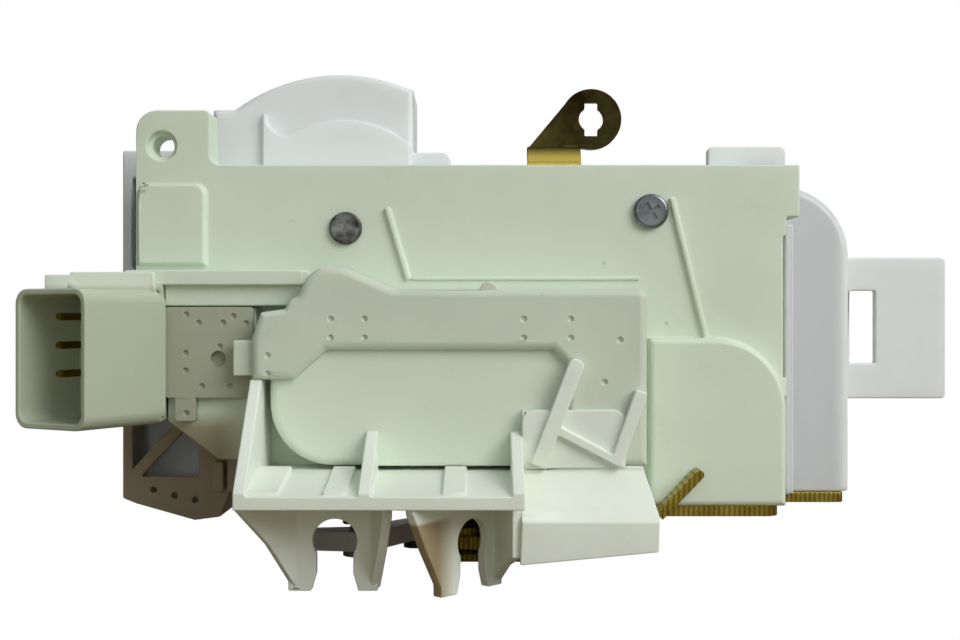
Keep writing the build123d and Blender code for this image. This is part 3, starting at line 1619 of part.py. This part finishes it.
with BuildPart() as pawl_cover:
    for layer_z, layer_t, layer_left in ((claw_z, 2.6, pawl_tail_x + 1.0), (claw_z + 2.6, 1.9, pawl_tail_x)):
        with BuildSketch(level(layer_z)) as layer_sketch:
            with Locations(((layer_left + pawl_x - 5.6) / 2, (pawl_tail_front + pawl_tail_back) / 2)):
                Rectangle(pawl_x - 5.6 - layer_left, pawl_tail_back - pawl_tail_front)
            fillet(layer_sketch.vertices().group_by(Axis.X)[0], 2.4)
        extrude(amount=layer_t)
    add(pawl.part, mode=Mode.SUBTRACT)

save(pawl_cover.part, "pawl_cover")

with BuildPart() as pawl_rivet:
    with BuildSketch(level(0)):
        with Locations((pawl_x, pawl_y)):
            Circle(pawl_rivet_r)
    extrude(amount=frame_under)
    with BuildSketch(level(frame_under)):
        with Locations((pawl_x, pawl_y)):
            Circle(pawl_rivet_r - 0.5)
    extrude(amount=frame_t)

save(pawl_rivet.part, "pawl_rivet")

pawl_coil_z = claw_z + pawl_t + run_clear + wire_r
coil("pawl_spring", (pawl_x, pawl_y, pawl_coil_z), (0, 0, 1), pawl_coil_r, 4, 1.68, wire_r)
coil(
    "claw_spring", (claw_x, claw_y, claw_z + claw_t + run_clear + claw_wire_r), (0, 0, 1),
    claw_coil_r, 2, 1.9, claw_wire_r,
)

# Plastic case between the plates, and the rubber buffer at the side of the striker's way in
case_side = latch_left - 1.6
with BuildPart() as latch_case:
    with BuildSketch(level(claw_z + 6.0)):
        with Locations((case_side, (latch_back + latch_front) / 2 + 1.0)):
            Rectangle(2.0, latch_back - latch_front - 6.0)
    extrude(amount=frame_under - claw_z - 6.0)
    with BuildSketch(level(plate_t)):
        with Locations((case_side, latch_back - 7.0)):
            Rectangle(2.0, 10.0)
    extrude(amount=frame_under - plate_t)
    with BuildSketch(level(claw_z + 6.0)):
        with Locations(((case_side - channel_w / 2 - 1.8) / 2, 2.0)):
            Rectangle(-case_side - channel_w / 2 - 1.8, 2.4)
    extrude(amount=2.4)

save(latch_case.part, "latch_case")

with BuildPart() as striker_buffer:
    with BuildSketch(level(plate_t)):
        with Locations((-channel_w / 2 - 1.8, 1.0)):
            RectangleRounded(2.6, 6.0, 1.0)
    extrude(amount=claw_z + 6.0 - plate_t)

save(striker_buffer.part, "striker_buffer")

# Inside release lever: a white rocker that the inner cable pulls and that pushes the pawl's tail
with BuildPart() as inside_release_lever:
    with BuildSketch(level(inside_low)):
        with Locations((inside_pin_x, inside_pin_y)):
            Circle(inside_pin_r + 2.2)
        outline(
            (inside_left, inside_pin_y - 2.0),
            (inside_pin_x, inside_pin_y - 3.6),
            (inside_pin_x, inside_pin_y + 3.6),
            (inside_left, inside_pin_y + 2.0),
        )
        outline(
            (inside_pin_x - 1.0, inside_pin_y + 3.2),
            (inside_pin_x + 3.0, inside_pin_y - 2.4),
            (inside_tip_x + 1.0, pawl_tail_front - 4.6),
            (inside_tip_x + 1.0, pawl_tail_front - run_clear),
            (inside_tip_x - 1.4, pawl_tail_front - run_clear),
        )
        with Locations((inside_pin_x, inside_pin_y)):
            Circle(inside_pin_r + pin_clear, mode=Mode.SUBTRACT)
    extrude(amount=inside_t)
    with BuildSketch(level(inside_low - 4.4)):
        with Locations((inside_left + 1.4, inside_pin_y)):
            RectangleRounded(2.8, 4.0, 0.6)
    extrude(amount=5.0)

save(inside_release_lever.part, "inside_release_lever")

with BuildPart() as inside_lever_pin:
    with BuildSketch(level(inside_low - 1.2)):
        with Locations((inside_pin_x, inside_pin_y)):
            Circle(inside_pin_r + 1.4)
    extrude(amount=1.0)
    with BuildSketch(level(inside_low - 0.4)):
        with Locations((inside_pin_x, inside_pin_y)):
            Circle(inside_pin_r)
    extrude(amount=case_bottom + case_wall + 3.0 - inside_low + 0.4)

save(inside_lever_pin.part, "inside_lever_pin")

inside_coil_z = inside_low + inside_t + run_clear + spring_wire
coil(
    "inside_lever_spring", (inside_pin_x, inside_pin_y, inside_coil_z), (0, 0, 1),
    inside_pin_r + 0.5 + spring_wire, 3, 1.6, spring_wire,
)

# Two small switches with their buttons
ajar_x = claw_x + claw_coil_r + 4.2
ajar_low = frame_under - switch_h
with BuildPart() as ajar_switch:
    with BuildSketch(level(ajar_low)):
        with Locations((ajar_x, claw_y + 3.0)):
            Rectangle(switch_w, switch_l)
    extrude(amount=switch_h)
    with BuildSketch(level(ajar_low)):
        with Locations((ajar_x, claw_y + 3.0)):
            Circle(button_r + 0.1)
    extrude(amount=2.6, mode=Mode.SUBTRACT)

save(ajar_switch.part, "ajar_switch")

with BuildPart() as ajar_switch_button:
    with BuildSketch(level(ajar_low - button_out)):
        with Locations((ajar_x, claw_y + 3.0)):
            Circle(button_r)
    extrude(amount=button_out + 1.6)

save(ajar_switch_button.part, "ajar_switch_button")

with BuildPart() as lock_switch:
    with BuildSketch(facing(slider_y)):
        with Locations((lock_switch_left + 3.4, lock_switch_z)):
            Rectangle(6.8, switch_l)
    extrude(amount=slider_t)
    with BuildSketch(across(lock_switch_left)):
        with Locations((slider_y - slider_t / 2, lock_switch_z)):
            Circle(button_r + 0.1)
    extrude(amount=2.6, mode=Mode.SUBTRACT)

save(lock_switch.part, "lock_switch")

with BuildPart() as lock_switch_button:
    with BuildSketch(across(lock_switch_left - button_out)):
        with Locations((slider_y - slider_t / 2, lock_switch_z)):
            Circle(button_r)
    extrude(amount=button_out + 1.6)

save(lock_switch_button.part, "lock_switch_button")
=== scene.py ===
import bpy
import bmesh
import json
import math
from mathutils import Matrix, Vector
from mathutils.bvhtree import BVHTree


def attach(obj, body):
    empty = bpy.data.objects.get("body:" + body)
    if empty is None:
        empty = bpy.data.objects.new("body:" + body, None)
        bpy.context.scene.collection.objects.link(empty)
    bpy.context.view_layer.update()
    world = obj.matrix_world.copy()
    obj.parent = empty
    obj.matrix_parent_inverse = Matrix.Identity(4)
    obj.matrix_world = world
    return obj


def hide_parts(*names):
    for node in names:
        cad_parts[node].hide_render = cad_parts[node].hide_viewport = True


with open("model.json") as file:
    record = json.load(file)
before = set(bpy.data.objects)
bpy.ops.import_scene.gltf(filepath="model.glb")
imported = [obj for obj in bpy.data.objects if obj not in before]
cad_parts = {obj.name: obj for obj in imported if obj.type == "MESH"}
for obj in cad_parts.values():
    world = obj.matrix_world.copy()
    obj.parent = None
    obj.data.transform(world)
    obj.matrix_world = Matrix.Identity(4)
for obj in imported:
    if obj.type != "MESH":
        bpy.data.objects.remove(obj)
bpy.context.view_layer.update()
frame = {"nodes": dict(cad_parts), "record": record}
nodes = frame["nodes"]
scene = bpy.context.scene
body_of_node = {n: b for b, names in frame["record"]["behaviour"]["bodies"].items() for n in names}
slot_of_node = {s["node"]: s["material_slot"] for s in frame["record"]["subparts"]}

MM = 0.001

# Rounding of the moulded and sheared edges, in millimetres and degrees
edge_round = {
    "main_housing": 0.35,
    "rear_cover": 0.35,
    "connector_shell": 0.3,
    "lead_frame_cover": 0.3,
    "cable_bracket": 0.25,
    "terminal_plate": 0.15,
    "release_lever": 0.15,
    "upper_latch_plate": 0.15,
    "lower_latch_plate": 0.15,
}
round_steps = 2
sharp_from = 28.0
flat_within = 0.6
weld_within = 0.003
skin = 0.02
least_share = 0.2
overshoot = 1.05
strip = 9.7
strips_across = (0, -79.37, 18)
strips_up = (2, 6.73, 10)

# The lever's rivet is duller than the screws of the same slot
look_of_node = {"lever_rivet": "mottled_steel"}


def srgb(r, g, b):
    """Linear colour from a 0 to 255 screen colour."""
    def lin(v):
        v = v / 255
        return v / 12.92 if v <= 0.04045 else ((v + 0.055) / 1.055) ** 2.4
    return (lin(r), lin(g), lin(b), 1.0)


def new_material(name):
    """A bare material, its shader and the object's own coordinates."""
    mat = bpy.data.materials.new(name)
    mat.use_nodes = True
    tree = mat.node_tree
    shader = next(n for n in tree.nodes if n.type == "BSDF_PRINCIPLED")
    coords = tree.nodes.new("ShaderNodeTexCoord")
    return mat, tree, shader, coords.outputs["Object"]


def noise(tree, place, scale, detail=3.0, rough=0.5):
    """Soft random patches, finer with a larger scale."""
    node = tree.nodes.new("ShaderNodeTexNoise")
    node.inputs["Scale"].default_value = scale
    node.inputs["Detail"].default_value = detail
    node.inputs["Roughness"].default_value = rough
    tree.links.new(place, node.inputs["Vector"])
    return node.outputs["Fac"]


def ramp(tree, value, low, high, low_out=0.0, high_out=1.0):
    """Maps a value between two limits onto two others."""
    node = tree.nodes.new("ShaderNodeMapRange")
    node.inputs["From Min"].default_value = low
    node.inputs["From Max"].default_value = high
    node.inputs["To Min"].default_value = low_out
    node.inputs["To Max"].default_value = high_out
    tree.links.new(value, node.inputs["Value"])
    return node.outputs["Result"]


def mix(tree, amount, first, second):
    """Blends two colours."""
    node = tree.nodes.new("ShaderNodeMix")
    node.data_type = "RGBA"
    for value, socket in ((amount, node.inputs[0]), (first, node.inputs[6]), (second, node.inputs[7])):
        if isinstance(value, (int, float, tuple)):
            socket.default_value = value
        else:
            tree.links.new(value, socket)
    return node.outputs[2]


def multiply(tree, first, second):
    """The product of two values."""
    node = tree.nodes.new("ShaderNodeMath")
    node.operation = "MULTIPLY"
    for value, socket in ((first, node.inputs[0]), (second, node.inputs[1])):
        if isinstance(value, (int, float)):
            socket.default_value = value
        else:
            tree.links.new(value, socket)
    return node.outputs[0]


def bump(tree, shader, height, strength, distance):
    """Fine relief on a material."""
    node = tree.nodes.new("ShaderNodeBump")
    node.inputs["Strength"].default_value = strength
    node.inputs["Distance"].default_value = distance
    tree.links.new(height, node.inputs["Height"])
    tree.links.new(node.outputs["Normal"], shader.inputs["Normal"])


def along(tree, place, axis, low, high):
    """Rises from 0 to 1 between two places along an axis, in millimetres."""
    parts = tree.nodes.new("ShaderNodeSeparateXYZ")
    tree.links.new(place, parts.inputs[0])
    return ramp(tree, parts.outputs[axis], low * MM, high * MM)


def parts_of(mat):
    """The tree of a finished look, its shader, its coordinates and its base colour."""
    tree = mat.node_tree
    shader = next(n for n in tree.nodes if n.type == "BSDF_PRINCIPLED")
    place = next(n for n in tree.nodes if n.type == "TEX_COORD").outputs["Object"]
    return tree, shader, place, shader.inputs["Base Color"].links[0].from_socket


def tint(mat, colour, *spans):
    """Tones a look towards a colour where all the spans hold: axis, where it is off, where it is full."""
    tree, shader, place, base = parts_of(mat)
    amount = 1.0
    for axis, off, full in spans:
        low, high = min(off, full), max(off, full)
        part = along(tree, place, axis, low, high)
        if off > full:
            flip = tree.nodes.new("ShaderNodeMath")
            flip.operation = "SUBTRACT"
            flip.inputs[0].default_value = 1.0
            tree.links.new(part, flip.inputs[1])
            part = flip.outputs[0]
        amount = multiply(tree, amount, part)
    tree.links.new(mix(tree, amount, base, colour), shader.inputs["Base Color"])


def shear_marks(mat, scale, depth, groove):
    """Fine upright marks that shearing leaves on the edges of a plate."""
    tree, shader, place, base = parts_of(mat)
    wave = tree.nodes.new("ShaderNodeTexWave")
    wave.inputs["Scale"].default_value = scale
    wave.inputs["Distortion"].default_value = 1.2
    wave.inputs["Detail"].default_value = 1.0
    tree.links.new(place, wave.inputs["Vector"])
    bump(tree, shader, wave.outputs["Fac"], 0.9, depth * MM)
    dark = ramp(tree, wave.outputs["Fac"], 0.15, 0.5, 0.55, 0.0)
    tree.links.new(mix(tree, dark, base, groove), shader.inputs["Base Color"])


dirt_speck = srgb(110, 100, 76)
dirt_smear = srgb(120, 112, 88)


def plastic(name, colour, shade, rough=0.42, specks=0.35, see_through=0.0, glow=(1.0, 0.9, 0.6)):
    """Moulded plastic: faint clouds, fine grain, sparse dirt and a little light under its skin."""
    mat, tree, shader, place = new_material(name)
    cloud = ramp(tree, noise(tree, place, 34.0, 5.0, 0.6), 0.34, 0.66)
    base = mix(tree, cloud, shade, colour)
    if specks:
        spots = tree.nodes.new("ShaderNodeTexVoronoi")
        spots.inputs["Scale"].default_value = 420.0
        tree.links.new(place, spots.inputs["Vector"])
        picked = ramp(tree, spots.outputs["Color"], 0.93, 0.96)
        dot = ramp(tree, spots.outputs["Distance"], 0.1, 0.2, specks, 0.0)
        base = mix(tree, multiply(tree, picked, dot), base, dirt_speck)
        smear = ramp(tree, noise(tree, place, 95.0, 6.0, 0.7), 0.6, 0.72, 0.0, 0.16 * specks)
        base = mix(tree, smear, base, dirt_smear)
    tree.links.new(base, shader.inputs["Base Color"])
    streaks = noise(tree, place, 130.0, 5.0, 0.6)
    tree.links.new(ramp(tree, streaks, 0.3, 0.7, rough - 0.06, rough + 0.1), shader.inputs["Roughness"])
    shader.inputs["IOR"].default_value = 1.47
    if see_through:
        shader.inputs["Subsurface Weight"].default_value = see_through
        shader.inputs["Subsurface Radius"].default_value = glow
        shader.inputs["Subsurface Scale"].default_value = 3 * MM
    bump(tree, shader, noise(tree, place, 900.0, 2.0), 0.1, 0.1 * MM)
    return mat


def metal(name, colour, other, rough=0.3, scale=90.0, contrast=0.14):
    """Plated steel: two tones of passivation in soft patches, with fine scratches."""
    mat, tree, shader, place = new_material(name)
    tone = ramp(tree, noise(tree, place, scale, 5.0, 0.65), 0.5 - contrast, 0.5 + contrast)
    tree.links.new(mix(tree, tone, colour, other), shader.inputs["Base Color"])
    shader.inputs["Metallic"].default_value = 1.0
    worn = noise(tree, place, 400.0, 4.0, 0.65)
    tree.links.new(ramp(tree, worn, 0.3, 0.7, rough - 0.08, rough + 0.12), shader.inputs["Roughness"])
    bump(tree, shader, noise(tree, place, 1300.0, 3.0), 0.18, 0.08 * MM)
    return mat


def moulded(name, colour, shade, **finish):
    """A moulded plastic whose two close tones are given as screen colours."""
    return plastic(name + "_look", srgb(*colour), srgb(*shade), **finish)


def plated(name, colour, other, **finish):
    """A plated steel whose two tones are given as screen colours."""
    return metal(name + "_look", srgb(*colour), srgb(*other), **finish)


looks = {
    "cream_plastic": moulded(
        "cream_plastic", (222, 235, 218), (215, 229, 210), see_through=0.15,
    ),
    "white_clear_plastic": moulded(
        "white_clear_plastic", (238, 242, 244), (230, 236, 237),
        rough=0.38, specks=0.1, see_through=0.5, glow=(1.0, 1.0, 0.95),
    ),
    "connector_plastic": moulded(
        "connector_plastic", (206, 216, 195), (198, 208, 185), see_through=0.12,
    ),
    "grey_green_plastic": moulded(
        "grey_green_plastic", (172, 176, 156), (158, 163, 142), rough=0.5, specks=0.8,
    ),
    "arm_plastic": moulded(
        "arm_plastic", (212, 222, 206), (202, 212, 196), rough=0.48, specks=0.5, see_through=0.1,
    ),
    "bracket_plastic": moulded(
        "bracket_plastic", (238, 245, 234), (230, 238, 225), rough=0.44, see_through=0.15,
    ),
    "white_plastic": moulded(
        "white_plastic", (216, 218, 218), (206, 208, 208), rough=0.4, specks=0.2, see_through=0.2,
    ),
    "black_plastic": moulded(
        "black_plastic", (34, 32, 30), (26, 25, 24), rough=0.35, specks=0.0,
    ),
    "gear_plastic": moulded(
        "gear_plastic", (236, 232, 214), (228, 224, 206), rough=0.4, specks=0.05, see_through=0.2,
    ),
    "rubber": moulded("rubber", (46, 46, 46), (38, 38, 38), rough=0.7, specks=0.0),
    "magnet": moulded("magnet", (70, 70, 72), (60, 60, 62), rough=0.6, specks=0.0),
    "gold_steel": plated("gold_steel", (196, 178, 84), (150, 128, 48), rough=0.34),
    "dark_gold_steel": plated("dark_gold_steel", (78, 72, 38), (34, 26, 10), rough=0.28, scale=70.0),
    "mottled_steel": plated(
        "mottled_steel", (136, 138, 134), (60, 60, 58), rough=0.36, scale=420.0, contrast=0.12,
    ),
    "bright_steel": plated(
        "bright_steel", (150, 158, 160), (96, 100, 104), scale=240.0, contrast=0.2,
    ),
    "spring_steel": plated("spring_steel", (84, 80, 78), (54, 52, 52), rough=0.2),
    "brass": plated("brass", (170, 140, 60), (128, 102, 36)),
}
# Painted shade: the cover's low left corner is browned where it lies in shade under the connector
tint(looks["white_clear_plastic"], srgb(166, 154, 130), ("X", -42, -58), ("Z", 38, 27), ("Y", -6, -12))
# Painted shade: the housing's sloped foot is browned where it faces down under the connector
tint(looks["cream_plastic"], srgb(176, 172, 146), ("X", -50, -56), ("Z", 33, 30), ("Y", -8, -16))
# Painted shade: the cover's right shield is greyer than the rest of the same white cover
tint(
    looks["white_clear_plastic"], srgb(207, 211, 215),
    ("X", 44, 50), ("X", 69, 65), ("Y", -6, -12), ("Z", 84, 80),
)
# Painted shade: the right fork's web is browned where it lies in shade in its concave corner
tint(
    looks["bracket_plastic"], srgb(166, 150, 118),
    ("X", -21.5, -20.5), ("X", -11.5, -14.2), ("Z", 15.6, 14.8),
)
# Painted shade: the connector's flank is darker than its top ledge
tint(looks["connector_plastic"], srgb(184, 194, 172), ("X", -84, -80), ("Z", 56, 54))
# Painted highlight: the connector's top ledge is lighter, as lit from above
tint(looks["connector_plastic"], srgb(232, 240, 226), ("Z", 55.6, 56.6))
# The release lever's foot is a brighter gold than the rest of the lever
tint(looks["dark_gold_steel"], srgb(214, 190, 92), ("Z", 83.5, 81.5))
shear_marks(looks["gold_steel"], 330.0, 0.12, srgb(84, 62, 16))


def finish_piece(obj, body, slot):
    """A new piece takes its look, its record slot and its body."""
    obj.data.materials.clear()
    obj.data.materials.append(looks[slot])
    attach(obj, body)


def room_beside(tree, edge, reach):
    """How far both faces of an edge run before they end or meet a wall, up to a reach."""
    room = reach
    for loop in edge.link_loops:
        up = loop.face.normal
        run = (loop.link_loop_next.vert.co - loop.vert.co).normalized()
        inward = up.cross(run)
        for part in (0.2, 0.5, 0.8):
            place = edge.verts[0].co.lerp(edge.verts[1].co, part) + inward * skin * MM
            for side in (-skin * MM, skin * MM):
                hit = tree.ray_cast(place + up * side, inward, reach)
                if hit[0] is not None:
                    room = min(room, hit[3])
    return room


def made_plain(obj):
    """Turns an object's modifiers into its mesh."""
    bpy.context.view_layer.update()
    done = bpy.data.meshes.new_from_object(obj.evaluated_get(bpy.context.evaluated_depsgraph_get()))
    obj.modifiers.clear()
    obj.data = done
    return done


def weigh_edges(mesh, width):
    """Clears the mesh and gives each sharp edge as much of the rounding as it has room for."""
    bm = bmesh.new()
    bm.from_mesh(mesh)
    bmesh.ops.remove_doubles(bm, verts=bm.verts, dist=weld_within * MM)
    surface = BVHTree.FromBMesh(bm)
    bmesh.ops.dissolve_limit(bm, angle_limit=math.radians(flat_within), verts=bm.verts, edges=bm.edges)
    bm.normal_update()
    share = bm.edges.layers.float.new("bevel_weight_edge")
    for edge in bm.edges:
        if len(edge.link_faces) != 2 or edge.calc_face_angle(0.0) < math.radians(sharp_from):
            continue
        part = min(1.0, room_beside(surface, edge, 3 * width) / (2.5 * width))
        if part < least_share:
            edge.smooth = False
        else:
            edge[share] = part
    bm.to_mesh(mesh)
    bm.free()
    return surface


def seat_and_cut(mesh, surface, width):
    """Draws stray corners back to the solid's surface, and cuts the large faces into strips."""
    bm = bmesh.new()
    bm.from_mesh(mesh)
    for vert in bm.verts:
        near = surface.find_nearest(vert.co)
        if near[3] > overshoot * width:
            vert.co = near[0]
    for axis, start, count in (strips_across, strips_up):
        for step in range(count):
            place = Vector((0, 0, 0))
            normal = Vector((0, 0, 0))
            place[axis] = (start + strip * step) * MM
            normal[axis] = 1
            geom = bm.verts[:] + bm.edges[:] + bm.faces[:]
            bmesh.ops.bisect_plane(bm, geom=geom, dist=1e-6, plane_co=place, plane_no=normal)
    for face in bm.faces:
        face.smooth = True
    bm.to_mesh(mesh)
    bm.free()


def rounded_copy(node, width):
    """A copy of a CAD node with rounded edges, which takes the node's place."""
    mesh = nodes[node].data.copy()
    surface = weigh_edges(mesh, width)
    obj = bpy.data.objects.new(node + "_moulded", mesh)
    scene.collection.objects.link(obj)
    bevel = obj.modifiers.new("round", "BEVEL")
    bevel.width = width
    bevel.segments = round_steps
    bevel.limit_method = "WEIGHT"
    bevel.use_clamp_overlap = False
    bevel.miter_outer = "MITER_ARC"
    bevel.loop_slide = False
    bevel.face_strength_mode = "FSTR_ALL"
    seat_and_cut(made_plain(obj), surface, width)
    shading = obj.modifiers.new("shading", "WEIGHTED_NORMAL")
    shading.mode = "FACE_AREA_WITH_ANGLE"
    shading.weight = 50
    shading.use_face_influence = True
    shading.keep_sharp = True
    cut = obj.modifiers.new("triangles", "TRIANGULATE")
    cut.ngon_method = "BEAUTY"
    cut.keep_custom_normals = True
    made_plain(obj)
    finish_piece(obj, body_of_node[node], slot_of_node[node])
    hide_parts(node)


for node, obj in nodes.items():
    slot = look_of_node.get(node, slot_of_node[node])
    for index in range(max(1, len(obj.data.materials))):
        if index < len(obj.data.materials):
            obj.data.materials[index] = looks[slot]
        else:
            obj.data.materials.append(looks[slot])

for node, width in edge_round.items():
    rounded_copy(node, width * MM)


def seen_as(tree, seen, lit, kind):
    """The camera sees one shader, and the light that falls on the object comes from another."""
    output = tree.nodes.new(kind)
    pick = tree.nodes.new("ShaderNodeMixShader")
    path = tree.nodes.new("ShaderNodeLightPath")
    tree.links.new(path.outputs["Is Camera Ray"], pick.inputs[0])
    tree.links.new(lit.outputs[0], pick.inputs[1])
    tree.links.new(seen.outputs[0], pick.inputs[2])
    tree.links.new(pick.outputs[0], output.inputs["Surface"])


def shader_node(tree, kind, colour):
    """A shader of one colour."""
    node = tree.nodes.new(kind)
    node.inputs["Color"].default_value = colour
    return node


white = (1, 1, 1, 1)

# Pale floor: white to the camera, and a warm bounce on the object from below
floor_half = 3.0
floor_low = -0.002
floor_bounce = (0.3, 0.24, 0.16, 1)
floor_mesh = bpy.data.meshes.new("floor")
corners = ((-1, -1), (1, -1), (1, 1), (-1, 1))
floor_mesh.from_pydata([(x * floor_half, y * floor_half, floor_low) for x, y in corners], [], [(0, 1, 2, 3)])
floor = bpy.data.objects.new("floor", floor_mesh)
scene.collection.objects.link(floor)
floor_mat = bpy.data.materials.new("floor_look")
floor_mat.use_nodes = True
tree = floor_mat.node_tree
tree.nodes.clear()
plain = shader_node(tree, "ShaderNodeEmission", white)
dull = shader_node(tree, "ShaderNodeBsdfDiffuse", floor_bounce)
seen_as(tree, plain, dull, "ShaderNodeOutputMaterial")
floor_mesh.materials.append(floor_mat)

# Room light: brown from below, cool from above, stronger from the right and from high up
room_power = 0.36
room_low = (0.62, 0.45, 0.25, 1)
room_high = (0.95, 0.99, 1.0, 1)
world = bpy.data.worlds.new("studio")
scene.world = world
world.use_nodes = True
tree = world.node_tree
tree.nodes.clear()
way = tree.nodes.new("ShaderNodeTexCoord")
parts = tree.nodes.new("ShaderNodeSeparateXYZ")
tree.links.new(way.outputs["Generated"], parts.inputs[0])
room = tree.nodes.new("ShaderNodeBackground")
room_colour = mix(tree, ramp(tree, parts.outputs["Z"], -0.5, 0.25), room_low, room_high)
tree.links.new(room_colour, room.inputs["Color"])
height = ramp(tree, parts.outputs["Z"], -0.1, 0.75, 0.08, 1.0)
sideways = ramp(tree, parts.outputs["X"], -1.0, 1.0, 0.45, 1.4)
tree.links.new(multiply(tree, multiply(tree, height, sideways), room_power), room.inputs["Strength"])
backdrop = shader_node(tree, "ShaderNodeBackground", white)
seen_as(tree, backdrop, room, "ShaderNodeOutputWorld")


def soft_light(name, place, size, power, colour=(1, 1, 1)):
    """A soft box that looks at the middle of the object."""
    data = bpy.data.lights.new(name, "AREA")
    data.shape = "RECTANGLE"
    data.size, data.size_y = size
    data.energy = power
    data.color = colour
    obj = bpy.data.objects.new(name, data)
    scene.collection.objects.link(obj)
    obj.location = place
    obj.rotation_euler = (object_middle - Vector(place)).to_track_quat("-Z", "Y").to_euler()


object_middle = Vector((0.0, -0.02, 0.05))
soft_light("key_light", (0.6, -0.6, 0.55), (0.6, 0.6), 6.0, (1.0, 1.0, 0.98))
soft_light("top_light", (0.0, -0.25, 0.8), (0.9, 0.6), 0.6, (0.94, 0.98, 1.0))
soft_light("front_light", (-0.1, -0.9, 0.15), (0.5, 0.5), 0.8)
soft_light("right_light", (0.85, -0.1, 0.3), (0.6, 0.6), 0.4, (0.95, 0.98, 1.0))
soft_light("back_light", (0.1, 0.9, 0.5), (0.7, 0.5), 0.8)

# The photo looks straight at the front, from 240 mm before the housing's face
cam_data = bpy.data.cameras.new("photo_camera")
cam_data.sensor_width = 36.0
cam_data.lens = 47.37
camera = bpy.data.objects.new("photo_camera", cam_data)
scene.collection.objects.link(camera)
camera.location = (-0.007, -0.278, 0.050)
camera.rotation_euler = (math.radians(90), 0, 0)
scene.camera = camera
scene.view_settings.view_transform = "Standard"
